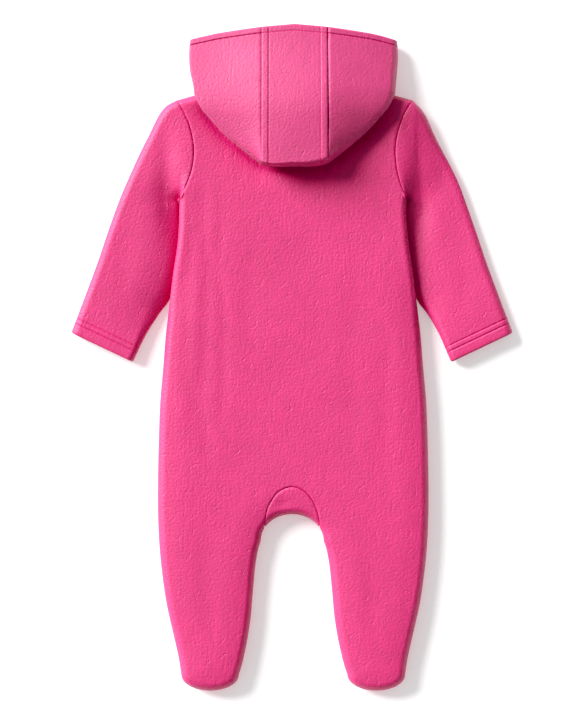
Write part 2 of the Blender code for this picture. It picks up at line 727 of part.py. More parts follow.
def main():
    for old in list(bpy.data.objects):
        bpy.data.objects.remove(old)
    knit = material("pink_knit", (0.83, 0.075, 0.27), 0.9)
    tape = material("zip_tape", (0.80, 0.06, 0.24), 0.8)
    coil = material("zip_coil", (0.78, 0.06, 0.26), 0.45)
    metal = material("zip_metal", (0.75, 0.75, 0.77), 0.35, 1.0)

    def centre_line(up):
        return np.zeros_like(np.asarray(up, float))

    def front_edge(up):
        return SEAM_GAP / 2 + (ZIP_OPEN_OUT - SEAM_GAP / 2) * smooth(ZIP_LOW_UP - 10, ZIP_LOW_UP, up)

    back = []
    for hand in (-1, 1):
        back += body_patches(hand, body_top, centre_line, BACK_NECK_DROP, 0.0, SEAM_GAP)
    cloth("back", [(back, True)], knit)
    for hand, name in ((-1, "left"), (1, "right")):
        first = math.asin(SEAM_GAP / 2 / ARCH_OUT)
        front = body_patches(hand, body_bottom, front_edge, FRONT_NECK_DROP, first, SEAM_GAP)
        cloth(f"front_{name}", [(front, False)], knit)
        sleeve = [(sleeve_patches(hand, True), True), (sleeve_patches(hand, False), False)]
        cloth(f"sleeve_{name}", sleeve, knit)
        top, under, flap = hood_side_patches(hand)
        cloth(f"hood_{name}", [([top], True), ([under, flap], False)], knit)
    cloth("crotch_gusset", [(gusset_patches(True), True), (gusset_patches(False), False)], knit)
    top, under = hood_gusset_patches()
    cloth("hood_gusset", [([top], True), ([under], False)], knit)
    zip_parts(tape, coil, metal)


main()
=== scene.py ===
"""Baby hooded romper in thick embossed knit, lying face down with its hood folded down on the back.

Every piece of cloth is a shell on its solid's form. Its outer face follows the outline and two height
rules, and is then dipped at the seams, grooved along the stitch lines and softened by a few shallow
troughs. Stitches, the zip's coil and its hardware are modelled on top.

Tables and sizes are in millimetres. "up" is measured from the foot end towards the hood, "out" from
the centre line towards either side, and "high" from the surface that the romper lies on.
"""

import math

import bmesh
import bpy
import numpy as np
from mathutils import Matrix, Vector, noise
from mathutils.bvhtree import BVHTree
from mathutils.kdtree import KDTree


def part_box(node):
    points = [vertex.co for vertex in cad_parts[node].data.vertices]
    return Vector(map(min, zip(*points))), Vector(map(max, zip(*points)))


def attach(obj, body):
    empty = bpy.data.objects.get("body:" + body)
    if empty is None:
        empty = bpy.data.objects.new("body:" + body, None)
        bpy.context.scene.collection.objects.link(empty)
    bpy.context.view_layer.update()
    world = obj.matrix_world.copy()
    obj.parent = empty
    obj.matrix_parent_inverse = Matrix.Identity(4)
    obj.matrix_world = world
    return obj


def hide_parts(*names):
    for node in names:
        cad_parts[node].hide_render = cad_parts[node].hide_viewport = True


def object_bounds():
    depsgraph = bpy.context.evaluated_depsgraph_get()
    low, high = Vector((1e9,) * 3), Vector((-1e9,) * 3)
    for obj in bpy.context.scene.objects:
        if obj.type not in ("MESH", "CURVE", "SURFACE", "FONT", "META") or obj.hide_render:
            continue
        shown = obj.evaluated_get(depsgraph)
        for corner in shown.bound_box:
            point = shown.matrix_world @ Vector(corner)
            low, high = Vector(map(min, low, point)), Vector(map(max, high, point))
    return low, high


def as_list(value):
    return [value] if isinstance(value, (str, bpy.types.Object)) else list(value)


bl_info = {
    "name": "Hooded Romper",
    "version": (1, 0, 0),
    "blender": (4, 5, 0),
    "location": "View3D > Sidebar > Romper",
    "description": "Dresses the packed frame of a hooded, footed baby romper in embossed knit",
    "category": "Add Mesh",
}

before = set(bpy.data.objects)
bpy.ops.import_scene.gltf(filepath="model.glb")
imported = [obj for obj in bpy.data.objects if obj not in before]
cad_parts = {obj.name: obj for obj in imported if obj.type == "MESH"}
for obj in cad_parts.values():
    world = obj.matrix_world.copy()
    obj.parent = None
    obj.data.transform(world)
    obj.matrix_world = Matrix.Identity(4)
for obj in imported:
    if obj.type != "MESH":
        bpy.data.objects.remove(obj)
CAD_LOW, CAD_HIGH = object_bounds()
MM = 0.001

# --- Sizes ------------------------------------------------------------------------------------

LENGTH = (CAD_HIGH.y - CAD_LOW.y) / MM
NECK_SIDE_UP = 568.0
SHOULDER_UP = 555.3
UNDERARM_UP = 461.0
ARCH_TOP_UP = 192.0
ARCH_END_UP = 153.0
CROTCH_UP = 166.0
CROTCH_WIDEST_UP = 141.0
GUSSET_TURN = 84.0
FOOT_CAP_UP = 15.0

NECK_SIDE_OUT = 66.0
SHOULDER_OUT = 111.0
CROTCH_OUT = 29.5
CROTCH_ROUND = CROTCH_UP - CROTCH_WIDEST_UP
ARCH_OUT = CROTCH_OUT * math.sqrt(1 - ((ARCH_END_UP - CROTCH_WIDEST_UP) / CROTCH_ROUND) ** 2)
ARMHOLE_BOW = 15.0
BACK_NECK_DROP = 16.0
FRONT_NECK_DROP = 42.0
SHOULDER_RUN = np.array([1, (SHOULDER_UP - NECK_SIDE_UP) / (SHOULDER_OUT - NECK_SIDE_OUT)])

SEAM_GAP = 0.16
HOOD_NECK = np.array([NECK_SIDE_OUT, NECK_SIDE_UP]) - 4 * SEAM_GAP * SHOULDER_RUN + (0, 2 * SEAM_GAP)

# Heights, and how far in from an edge a face rounds over to it. Where a name ends in STEP, a smooth step
# starts at its first number and is complete at its second.

BODY_HIGH = 20.0
SEAM_HIGH = 9.5
BACK_ROLL = 7.0
FRONT_ROLL = 12.0
EDGE_FALL = 2.2  # how far the back sinks towards its edge before it rounds over
EDGE_FALL_REACH = 28.0
EDGE_FALL_STEP = (420.0, 360.0)

RIDE_UP = 5.2  # how far the body's side rides up where a sleeve is tucked under it
RIDE_STEP = (342.0, 372.0)
RIDE_TOP_STEP = (UNDERARM_UP + 16, UNDERARM_UP)
RIDE_ROLL = 14.0  # how much further in the front rounds over there
SIDE_ROLL = 6.0  # how far in the back rounds over there
SIDE_ROLL_STEP = (500.0, 470.0)

SLEEVE_HIGH = (15.0, 11.0)  # of the left and the right sleeve, as in every pair here that isn't a step
SLEEVE_HIGH_STEP = (0.0, 0.35)  # shares of a sleeve's length, as are the next four
CUFF_HIGH = 13.0
CUFF_HIGH_STEP = (0.5, 1.0)
CUFF_EDGE_STEP = (0.6, 1.0)
TUCK_STEP = (0.0, 0.06)
TUCK_END_STEP = (0.98, 0.72)
INNER_STEP = (0.2, 1.0)  # shares of a sleeve's width
TIP_HIGH = 8.5  # of the sleeve's inner edge at the underarm
TUCKED_HIGH = 3.2  # of that edge where it is tucked under the body
TUCKED_ROLL = 5.0  # of the sleeve's lower layer there
TUCK_ROLL = (14.0, 10.0)  # of its upper layer
TUCK_DROP = (6.5, 2.5)  # how far the upper layer sinks towards the body
TUCK_REACH = 40.0
TUCK_TALL = 7.0  # how far above the underarm the armhole seam lies hidden in the tuck

HOOD_CROWN_HIGH = 45.0
HOOD_BROW_HIGH = 27.0
CROWN_STEP = (540.0, 632.0)
HOOD_DOME = 2.0
DOME_STEP = (70.0, 0.0)
HOOD_FOLD_HIGH = (27.0, 31.0)
HOOD_SIDE_HIGH = 11.0
FOLD_STEP = (545.0, 582.0)
HOOD_ROLL = (1.5, 6.0)
HOOD_DROP = (7.5, 12.5)  # how far a side panel falls from its seam to its fold
HOOD_BEND = (0.1, 0.6)  # how much of that fall comes late
HOOD_UNDER_ROLL = 13.0
HOOD_LIP = 1.5  # how much higher than the shoulder seam the hood's lower layer lies there
HOOD_PRESS = 6.0  # how far the hood's edge presses into the back
PRESS_REACH = 7.0
PRESS_STEP = (558.0, 530.0)

RELIEF_STEP = (0.2, 0.8)  # relief shows in full where a face is flat, and fades where it is steep
ON_LINE = 0.004  # a point this close to an outline is on it
APART = 0.02  # how far from its inner line all of a sleeve's columns but the last count as, at least
SEWN_ROW = 0.0001  # of a sleeve's length, the part that is sewn to the body

ZIP_OPEN_OUT = 5.0
ZIP_LOW_UP = 213.0
ZIP_STEP = (ZIP_LOW_UP - 10, ZIP_LOW_UP)
ZIP_LIFT = 2.6  # how far the front stands off the floor beside the zip
ZIP_LIFT_STEP = (24.0, 7.0)

BODY_SIDE = (  # up, out
    (461, 106.5), (440, 107), (418, 109), (391, 113), (366, 116), (338, 119.5), (304, 122.3),
    (274, 125), (236, 126.5), (199, 127.3), (164, 127.2), (138, 126), (110, 123.3), (81, 119),
    (53, 112.7), (30, 107.6), (15, 105.3),
)
LEG_INSIDE = (  # up, out
    (141, 29.5), (134, 31.8), (124, 33.8), (95, 37), (67, 39.6), (39, 44.5), (21, 49), (15, 51),
)
SLEEVE = (  # along, outer out, outer up, inner out, inner up
    (0.00, 111, 555.3, 106.66, 461),
    (0.06, 121, 549.5, 105.6, 457.5),
    (0.20, 138, 519, 105.2, 444),
    (0.40, 157, 476, 105.6, 413),
    (0.60, 173.5, 431, 110.6, 381.5),
    (0.72, 183, 403, 118.5, 364.5),
    (0.80, 190, 384, 125.5, 355.5),
    (0.90, 199, 360, 138, 335),
    (1.00, 208, 336.5, 150, 308.5),
)
SLEEVE_LONG = 240.0
HOOD_FOLD = (  # out, up: where the hood folds back on itself over the back panel
    (0, 492), (22, 492.6), (31, 495), (39, 500.5), (52, 511), (66, 523), (79, 537), (89, 549.5),
    (94.3, 560.6),
)
HOOD_SIDE = (  # up, out: the fold beside the face opening
    (560.6, 94.3), (578, 96), (597, 97.3), (612, 96.5),
)
HOOD_BROW = (  # out, up: the edge of the face opening
    (0, 626), (34, 623), (57, 620), (76, 617), (96.5, 612),
)
HOOD_SEAM_OUT = 31.0
CHEEK = ((5, 534), (44, 590), (96.5, 612))  # out, up: start, pull and end of the cheek edge
NECK_SHARE = 0.6  # of the flap's lower edge, the part that is sewn to the front
NECK_COLUMN = 0.62  # of the columns at the shoulders, those that meet the neck

BACK_TROUGHS = (  # out, low up, high up, half width, depth
    (-97, 235, 440, 6, 0.35), (-82, 215, 470, 7, 0.5), (-66, 250, 455, 6, 0.35), (-38, 300, 420, 9, 0.2),
    (58, 240, 400, 10, 0.2), (88, 200, 330, 9, 0.3), (-80, 60, 150, 9, 0.25), (76, 50, 130, 10, 0.25),
)
SLEEVE_TROUGHS = (  # out, low up, high up, half width, depth
    (117, 425, 512, 10, 2.2), (160, 350, 420, 8, 0.25),
)
FRONT_TROUGHS = (  # out, low up, high up, half width, depth
    (-70, 240, 430, 9, 0.4), (-45, 300, 460, 7, 0.25), (62, 220, 400, 8, 0.35), (86, 300, 440, 7, 0.25),
    (-78, 60, 150, 9, 0.25), (74, 60, 140, 9, 0.25),
)

TROUGH_WANDER = ((2.2, 31, 1.9), (1.1, 13, 2.7))  # how far, over what length, shift between troughs
UNEVEN = {  # how high and over what length loose cloth is uneven, and the seed of its noise
    "back": (0.35, 46, 1), "front": (0.3, 46, 2), "crotch_gusset": (0.4, 18, 3), "sleeve": (0.4, 40, 4),
    "hood_side": (0.7, 42, 6), "hood_gusset": (0.6, 40, 9),
}
CROTCH_DIMPLE = ((-9, 176), (7, 5), 0.8)  # middle, half widths, depth

# How the pieces lie: the grain's turn, and how far the garment leans to the right of its outline.
HOOD_TURN = math.radians(5)
SLEEVE_TURN = math.radians(20)
BODY_LEAN = 1.1
BODY_LEAN_STEP = (480.0, 420.0)
BODY_LEAN_SIDE_STEP = (150.0, 128.0)
BODY_LEAN_MIDDLE_STEP = (20.0, 60.0)
SHOULDER_LEAN = 2.4
SHOULDER_LEAN_STEP = (440.0, 500.0)
SHOULDER_LEAN_SIDE_STEP = (190.0, 110.0)
NEAR_ZIP_STEP = (30.0, 12.0)
UNDERNEATH_STEP = (12.0, 7.0)
CAP_TRIM = 4.0  # how far the top of the right sleeve is pulled in
CAP_TRIM_STEP = (110.0, 121.0)
CAP_TRIM_UP_STEP = (470.0, 520.0)
HOOD_TRIM = 2.0  # how far the left side of the hood is moved back out
HOOD_TRIM_STEP = (-80.0, -95.0)
HOOD_TRIM_UP_STEP = (565.0, 585.0)

# --- Seams, stitches and hems -----------------------------------------------------------------

SEAM_DEPTH = 0.9
SIDE_SEAM_DEPTH = 0.6
SIDE_LINE_DEPTH = 0.4  # of the seam allowances that show through beside a seam
SIDE_LINE_IN = (3.6, 4.2)  # from the left leg's inner seam, and from the right side seam
SEAM_REACH = 2.2
SEAM_PULL = 0.1
HOOD_SEAM_DEPTH = (SEAM_DEPTH, SEAM_DEPTH * 2.2)  # on the left and on the right of its centre strip
HOOD_SEAM_REACH = SEAM_REACH * 1.5
STITCH_DEPTH = 0.85
BAND_LINE_DEPTH = STITCH_DEPTH * 0.55
BROW_LINE_DEPTH = STITCH_DEPTH * 0.6
STITCH_HALF = 0.6
STITCH_THICK = 0.5
STITCH_LIFT = 0.1
STITCH_PULL = 0.15  # the share by which a groove's depth swings each way, over this length of it
STITCH_WAVE = 5.6
STITCH_FLAT = 1.3  # how much wider than tall a stitch is
STITCH_HALF_LONG = 0.44  # as a share of the way to the next stitch
HEM_TURN = 2.1
HEM_HIGH = 0.45
CUFF_STITCH_IN = (10.0, 15.0)
CUFF_HEM_PAST = 2.0  # how far past its last stitches a cuff's turned layer goes
BROW_STITCH_IN = 6.4
BROW_HEM = BROW_STITCH_IN + 6  # how deep the hood's turned layer is
BAND_WIDE = 6.5
BAND_HIGH = 0.45
ZIP_STITCH_IN = 6.0
ZIP_STITCH_START = 0.08  # of the torso's length, from where the zip's stitches run
TAPE_PARTED = 2.1
TAPE_BEAD = 0.35
LINE_PITCH = 0.3
WELD = 0.00001
SIDES = ((-1, "left"), (1, "right"))
GRAIN = "grain"
EMBOSSED = "embossed"

# --- Knit, in metres --------------------------------------------------------------------------

WALE = 0.0011
COURSE = 0.0013
ROW_SHARE = 0.92
ROW_SHIFT = 0.37
BLOSSOM_RADIUS = 0.0058
GROOVE_HALF = 0.0009
FELT_DEEP = 0.00046
STREAK_DEEP = 0.0003
WALE_DEEP = 0.00002

# --- Tape, coil and metal, in metres ----------------------------------------------------------

TAPE_RIB = 0.0011
RIB_DEEP = 0.00004
FIBRE_DEEP = 0.00006
WORN_DEEP = 0.00001
TURN_WIDE = 0.34  # half of a coil turn's width, as a share of the chain's
TURN_LONG = 0.3  # half of its length, as a share of the pitch
TURN_SLANT = 0.16
CORD_ROUND = 0.0005  # radius of the cord along each side of the coil
CORD_OUT = 0.62  # how far out it lies, as a share of the chain's half width

# --- Stage ------------------------------------------------------------------------------------

VIEW_CENTRE = (-0.0005, -0.0019, 0.012)
KEY_WAY = (1.0, -0.7)  # where the key light travels in plan
KEY_RISE = math.radians(27.5)
KEY_SOFT = math.radians(32)
UNDERSIDE_REACH = 0.006  # the floor lets soft light through to what lies this close above it
FILM_TOE = {  # by channel, red to blue: values, and what they are shown as
    0: ((0.06, 0.035), (0.2, 0.15), (0.36, 0.345), (0.6, 0.6)),
    1: ((0.022, 0.003), (0.06, 0.052), (0.1, 0.1)),
    2: ((0.05, 0.026), (0.14, 0.12), (0.25, 0.25)),
}
SKY_GLOSS = 0.15  # how much of the sky shows in reflections
FLOOR_GLOW = 0.25
FLOOR_HALF = 6.0
FLOOR_BELOW = 0.0002

# --- Sheets: the cut of each piece ------------------------------------------------------------

CUTS = {  # width, length, area: metres and square metres of the flat cut
    "back": (0.275, 0.570, 0.118),
    "front": (0.140, 0.565, 0.058),
    "crotch_gusset": (0.060, 0.110, 0.0028),
    "sleeve": (0.215, 0.250, 0.0330),
    "hood_side": (0.120, 0.230, 0.0165),
    "hood_gusset": (0.062, 0.260, 0.0142),
}


# --- What a user would change -----------------------------------------------------------------


def a_colour(name, description, default):
    return bpy.props.FloatVectorProperty(
        name=name, description=description, subtype="COLOR", size=3, min=0, max=1, default=default,
    )


def a_length(name, description, default, low=0.0):
    return bpy.props.FloatProperty(
        name=name, description=description, unit="LENGTH", default=default, min=low,
    )


def a_number(name, description, default, low=0.0):
    return bpy.props.FloatProperty(name=name, description=description, default=default, min=low)


class KnitSettings(bpy.types.PropertyGroup):
    """The cloth and its thread."""

    colour: a_colour("Cloth", "Colour of the knit", (0.66, 0.006, 0.155))
    # A paler copy of the cloth colour, used on the hood: painted light and sheen.
    nap: a_colour("Nap", "Colour of the knit seen against its nap", (0.605, 0.020, 0.165))
    thread: a_colour("Thread", "Colour of the sewing thread", (0.60, 0.006, 0.13))
    wall: a_length("Thickness", "Thickness of the knit", 0.002, 0.0005)
    pitch: a_length("Mesh pitch", "Usual distance between the rows of a piece's mesh", 0.0025, 0.001)
    emboss: a_length("Emboss depth", "Depth of the embossed blossoms", 0.00018)
    repeat: a_length("Repeat", "Distance between blossoms along a row", 0.0215, 0.001)
    stitch: a_length("Stitch", "Length from one stitch to the next", 0.0028, 0.001)


class ZipSettings(bpy.types.PropertyGroup):
    """The zip on the front."""

    tape: a_colour("Tape", "Colour of the zip's tape", (0.74, 0.055, 0.22))
    coil: a_colour("Coil", "Colour of the nylon coil", (0.72, 0.06, 0.24))
    metal: a_colour("Metal", "Colour of the slider and pull", (0.75, 0.75, 0.77))
    tooth: a_length("Coil pitch", "Distance from one turn of the coil to the next", 0.0016, 0.0005)


class StageSettings(bpy.types.PropertyGroup):
    """The camera, the light and the floor."""

    lens: a_number("Lens", "Focal length of the camera in millimetres", 180.0, 10.0)
    view_long: a_length("View", "Length that the picture covers at the romper's height", 0.6768, 0.01)
    key: a_number("Key light", "Strength of the soft light from the upper left", 6.3)
    sky: a_number("Sky", "Strength of the even light from all round", 0.44)
    floor: a_colour("Floor", "Colour of the floor", (0.96, 0.96, 0.96))


# --- Curves -----------------------------------------------------------------------------------


def smooth(low, high, value):
    """0 at low, 1 at high and an easy slope between them."""
    share = np.clip((np.asarray(value, float) - low) / (high - low), 0, 1)
    return share * share * (3 - 2 * share)


def roll(distance, reach):
    """How much of its full height a rounded edge has at this distance in from the edge."""
    share = np.clip(distance / reach, 0, 1)
    return np.sqrt(1 - (1 - share) ** 2)


def through(table, at, column=1):
    """The column's value on a smooth curve through the table's rows, by their first column."""
    rows = np.array(sorted(table), float)
    keys, values = rows[:, 0], rows[:, column]
    slopes = np.gradient(values, keys)
    at = np.clip(np.asarray(at, float), keys[0], keys[-1])
    i = np.clip(np.searchsorted(keys, at) - 1, 0, len(keys) - 2)
    gap = keys[i + 1] - keys[i]
    t = (at - keys[i]) / gap
    return (
        (2 * t**3 - 3 * t**2 + 1) * values[i]
        + (t**3 - 2 * t**2 + t) * gap * slopes[i]
        + (3 * t**2 - 2 * t**3) * values[i + 1]
        + (t**3 - t**2) * gap * slopes[i + 1]
    )


def mixed(a, b, share):
    return a + (b - a) * share


def pair(out, up):
    return np.stack(np.broadcast_arrays(np.asarray(out, float), np.asarray(up, float)), axis=-1)


class Line:
    """A line of short straight runs that distances are measured from."""

    def __init__(self, points):
        self.points = np.column_stack([points, np.zeros(len(points))]) if points.shape[1] == 2 else points
        self.tree = KDTree(len(points))
        for number, point in enumerate(self.points):
            self.tree.insert(point, number)
        self.tree.balance()

    def measure(self, at):
        """Each point's distance from the line."""
        at = np.column_stack([at, np.zeros(len(at))]) if at.shape[1] == 2 else at
        nearest = np.array([self.tree.find(point)[1] for point in at])
        best = np.full(len(at), np.inf)
        for step in (-1, 0):
            first = np.clip(nearest + step, 0, len(self.points) - 2)
            start, run = self.points[first], self.points[first + 1] - self.points[first]
            share = ((at - start) * run).sum(1) / np.maximum((run * run).sum(1), 1e-12)
            best = np.minimum(best, np.linalg.norm(at - start - np.clip(share, 0, 1)[:, None] * run, axis=1))
        return best


def distance(plan, line):
    return np.maximum(line.measure(plan) - ON_LINE, 0)


def ellipse_out(up, middle, half_up, half_out):
    return half_out * np.sqrt(np.clip(1 - ((up - middle) / half_up) ** 2, 0, 1))


def line_between(start, end):
    return lambda share: np.array(start, float) + np.outer(share, np.subtract(end, start))


# --- Outline ----------------------------------------------------------------------------------


def side(up):
    return through(BODY_SIDE, up)


def inside(up):
    """The inner edge of a leg, up to the top of the crotch."""
    crotch = ellipse_out(up, CROTCH_WIDEST_UP, CROTCH_ROUND, CROTCH_OUT)
    return np.where(up > CROTCH_WIDEST_UP, crotch, through(LEG_INSIDE, np.minimum(up, CROTCH_WIDEST_UP)))


def sleeve_edges(along):
    """The outer and the inner edge of a sleeve in plan."""
    outer = pair(through(SLEEVE, along, 1), through(SLEEVE, along, 2))
    inner = pair(through(SLEEVE, along, 3), through(SLEEVE, along, 4))
    return outer, inner


def bow(down):
    """How far the armhole seam bows in towards the body."""
    return ARMHOLE_BOW * 4 * down * (1 - down) ** 2 / (1.03 - down)


def armhole(down):
    """The armhole seam, from the shoulder (0) to the underarm (1)."""
    return pair(mixed(SHOULDER_OUT, BODY_SIDE[0][1], down) - bow(down), mixed(SHOULDER_UP, UNDERARM_UP, down))


def neckline(out, drop, corner=(NECK_SIDE_OUT, NECK_SIDE_UP)):
    return corner[1] - drop * np.sqrt(np.clip(1 - (out / corner[0]) ** 2, 0, 1))


def arch(turn):
    """The gusset seam: 0 at its top, 90 degrees where it meets the leg's inner edge."""
    return pair(ARCH_OUT * np.sin(turn), ARCH_END_UP + (ARCH_TOP_UP - ARCH_END_UP) * np.cos(turn))


def crotch(turn):
    """The crotch edge, on the same turns as arch()."""
    last = math.acos((ARCH_END_UP - CROTCH_WIDEST_UP) / CROTCH_ROUND)
    turn = turn * last / (math.pi / 2)
    return pair(CROTCH_OUT * np.sin(turn), CROTCH_WIDEST_UP + CROTCH_ROUND * np.cos(turn))


def foot_cap(across, down):
    """The round end of a foot: across is -1 to 1 over its width, down is 0 to 1 towards the tip."""
    outer, inner = side(FOOT_CAP_UP), inside(np.array(FOOT_CAP_UP))
    out = (outer + inner) / 2 + (outer - inner) / 2 * across * np.sqrt(1 - down**2 / 2)
    return pair(out, FOOT_CAP_UP * (1 - down * np.sqrt(1 - across**2 / 2)))


def hood_fold(along):
    """The hood's lower fold, from the centre line to the shoulder, evenly along its width."""
    out = np.asarray(along, float) * HOOD_FOLD[-1][0]
    return pair(out, through(HOOD_FOLD, out))


def hood_side(along):
    up = mixed(HOOD_SIDE[0][0], HOOD_SIDE[-1][0], np.asarray(along, float))
    return pair(through(HOOD_SIDE, up), up)


def outline_lines():
    """The lines that the heights are measured from."""
    steps = np.linspace(0, 1, 361)
    body = mixed(UNDERARM_UP, FOOT_CAP_UP, steps)
    tip = foot_cap(np.cos(steps * math.pi), np.zeros(len(steps)))
    round_tip = np.stack([tip[:, 0], FOOT_CAP_UP * (1 - np.sin(steps * math.pi))], axis=-1)
    leg = mixed(FOOT_CAP_UP, CROTCH_WIDEST_UP, steps)
    turns = np.linspace(math.pi / 2, 0, 91)
    top = pair(CROTCH_OUT * np.sin(turns), CROTCH_WIDEST_UP + CROTCH_ROUND * np.cos(turns))
    outer, inner = sleeve_edges(steps)
    lines = {
        "side": np.concatenate([pair(side(body), body), round_tip[1:-1], pair(inside(leg), leg), top[1:]]),
        "over": np.concatenate([[(NECK_SIDE_OUT, NECK_SIDE_UP)], outer]),
        "perch": np.array([HOOD_NECK - 5 * SHOULDER_RUN, HOOD_NECK + 50 * SHOULDER_RUN]),
        "under": inner,
        "hood": np.concatenate([hood_fold(steps), hood_side(steps)[1:]]),
    }
    return {name: Line(line) for name, line in lines.items()}


LINES = outline_lines()


# --- Heights ----------------------------------------------------------------------------------


def riding(up):
    """1 where the body's side rides up over the sleeve."""
    return smooth(*RIDE_TOP_STEP, up) * smooth(*RIDE_STEP, up)


def side_reach(up):
    """How far in from the body's side the back rounds over: less where it lies over the sleeve."""
    return mixed(BACK_ROLL, SIDE_ROLL, smooth(*SIDE_ROLL_STEP, up) * smooth(*RIDE_STEP, up))


def seam_high(up):
    return SEAM_HIGH + RIDE_UP * riding(up)


def body_top(plan, gap=SEAM_GAP):
    up = plan[:, 1]
    to_side = distance(plan, LINES["side"])
    share = roll(to_side, side_reach(up)) * roll(distance(plan, LINES["over"]), BACK_ROLL)
    pressed = HOOD_PRESS * np.exp(-distance(plan, LINES["hood"]) / PRESS_REACH)
    fallen = EDGE_FALL * np.clip(1 - to_side / EDGE_FALL_REACH, 0, 1) ** 2 * smooth(*EDGE_FALL_STEP, up)
    high = BODY_HIGH - fallen - pressed * smooth(*PRESS_STEP, up)
    return mixed(seam_high(up) + gap / 2, high, share)


def body_bottom(plan, gap=SEAM_GAP):
    out, up = plan.T
    reach = FRONT_ROLL + RIDE_ROLL * riding(up)
    share = roll(distance(plan, LINES["side"]), reach) * roll(distance(plan, LINES["over"]), FRONT_ROLL)
    lift = ZIP_LIFT * smooth(*ZIP_LIFT_STEP, out) * smooth(ARCH_TOP_UP, ZIP_LOW_UP, up)
    return (seam_high(up) - gap / 2) * (1 - share) + lift


def sleeve_heights(plan, across, along, top, side_of):
    """Heights on a sleeve's top or lower layer: across is 0 at its outer edge and 1 at its inner one, and
    side_of is 0 on the left and 1 on the right. The row that is sewn to the body keeps to the body's own
    heights, and past it the sleeve may dive beside the body."""
    up = plan[:, 1]
    before_cuff = smooth(*TUCK_END_STEP, along)
    tucked = smooth(*TUCK_STEP, along) * before_cuff
    inner = mixed(mixed(TIP_HIGH, CUFF_HIGH / 2, smooth(*CUFF_EDGE_STEP, along)), TUCKED_HIGH, tucked)
    edge = mixed(mixed(SEAM_HIGH, CUFF_HIGH / 2, along), inner, smooth(*INNER_STEP, across))
    over = distance(plan, LINES["over"])
    under = np.maximum(distance(plan, LINES["under"]), APART * (across < 1))
    sewn = along < SEWN_ROW
    if not top:
        share = roll(over, FRONT_ROLL) * roll(under, mixed(FRONT_ROLL, TUCKED_ROLL, tucked))
        as_front = roll(over, FRONT_ROLL) * roll(under, FRONT_ROLL + RIDE_ROLL * riding(up))
        return np.where(sewn, seam_high(up) * (1 - as_front), edge * (1 - share))
    high = mixed(BODY_HIGH, SLEEVE_HIGH[side_of], smooth(*SLEEVE_HIGH_STEP, along))
    high = mixed(high, CUFF_HIGH, smooth(*CUFF_HIGH_STEP, along))
    high = high - TUCK_DROP[side_of] * tucked * np.clip(1 - under / TUCK_REACH, 0, 1) ** 2
    share = roll(over, BACK_ROLL) * roll(under, mixed(SIDE_ROLL, TUCK_ROLL[side_of], before_cuff))
    as_back = roll(over, BACK_ROLL) * roll(under, side_reach(up))
    return np.where(sewn, mixed(seam_high(up), BODY_HIGH, as_back), mixed(edge, high, share))


def rightness(out, hand):
    """0 on the hood's left side, 1 on its right one, and between them across its centre strip."""
    return 0.5 + hand * smooth(0, HOOD_SEAM_OUT, out) / 2


def hood_fold_high(plan, hand):
    out, up = plan.T
    return mixed(mixed(*HOOD_FOLD_HIGH, rightness(out, hand)), HOOD_SIDE_HIGH, smooth(*FOLD_STEP, up))


def hood_top(plan, hand):
    """The hood's upper layer. Its sides fall away from the centre strip, more so on the right."""
    out, up = plan.T
    crown = mixed(HOOD_CROWN_HIGH, HOOD_BROW_HIGH, smooth(*CROWN_STEP, up))
    crown = crown + HOOD_DOME * smooth(*DOME_STEP, out)
    edge = distance(plan, LINES["hood"])
    gone = np.maximum(out - HOOD_SEAM_OUT, 0)
    gone = gone / (edge + gone + 0.01)
    right = rightness(out, hand)
    panel = crown - mixed(*HOOD_DROP, right) * mixed(gone, gone**2, mixed(*HOOD_BEND, right))
    return mixed(hood_fold_high(plan, hand), panel, roll(edge, mixed(*HOOD_ROLL, right)))


def hood_under(plan, beyond_shoulder, hand):
    """The hood's lower layer: on the back panel, or beyond the shoulder, where it drops to the surface."""
    shoulder = distance(plan, LINES["perch"])
    lip = SEAM_HIGH + HOOD_LIP
    if beyond_shoulder:
        rest = lip * (1 - roll(shoulder, FRONT_ROLL))
    else:
        rest = mixed(lip, BODY_HIGH + SEAM_GAP, roll(shoulder, BACK_ROLL - 4))
    share = roll(distance(plan, LINES["hood"]), HOOD_UNDER_ROLL)
    return mixed(hood_fold_high(plan, hand), rest, share)


# --- Patches ----------------------------------------------------------------------------------
# A patch is part of a piece's outer face: place(u, v) gives points for shares across and along it.

HOOD_FOLD_TALL = 125.0  # usual length of the hood's top layer
HOOD_UNDER_DEEP = 60.0  # and of its layer on the back
BODY_COLUMNS = 73
SLEEVE_COLUMNS = 61
EDGE_POINTS = 900
INSET_POINTS = 240
INSET_REACH = 0.35  # how far in a line can lie, as a share of the patch
HOOD_PITCH = (0.6, 0.8)  # across the hood and along its top layer, as shares of the usual pitch
FINE_PITCH = 0.4
FINE_EASE = 7.0
EDGE_REACH = 18.0  # of a body piece's width, the part with crowded columns
EDGE_POWER = 1.7
OUTER_COLUMNS = 0.3  # the share of the columns in that part
OPEN_SHARE = 0.42  # where the inner edge isn't crowded, the part of the rest that its columns take


def lean(points):
    """The garment lies a little to the right of its outline, apart from its zip and its crotch."""
    out, up, high = points.T
    wide = abs(out)
    body = BODY_LEAN * smooth(*BODY_LEAN_STEP, up)
    body = body * smooth(*BODY_LEAN_SIDE_STEP, wide) * smooth(*BODY_LEAN_MIDDLE_STEP, wide)
    shoulders = SHOULDER_LEAN * smooth(*SHOULDER_LEAN_STEP, up) * smooth(*SHOULDER_LEAN_SIDE_STEP, wide)
    by_zip = smooth(*NEAR_ZIP_STEP, wide) * smooth(*UNDERNEATH_STEP, high)
    trim = CAP_TRIM * smooth(*CAP_TRIM_STEP, out) * smooth(*CAP_TRIM_UP_STEP, up)
    trim += HOOD_TRIM * smooth(*HOOD_TRIM_STEP, out) * smooth(*HOOD_TRIM_UP_STEP, up)
    return np.column_stack([out + (body + shoulders) * (1 - by_zip) - trim, up, high])


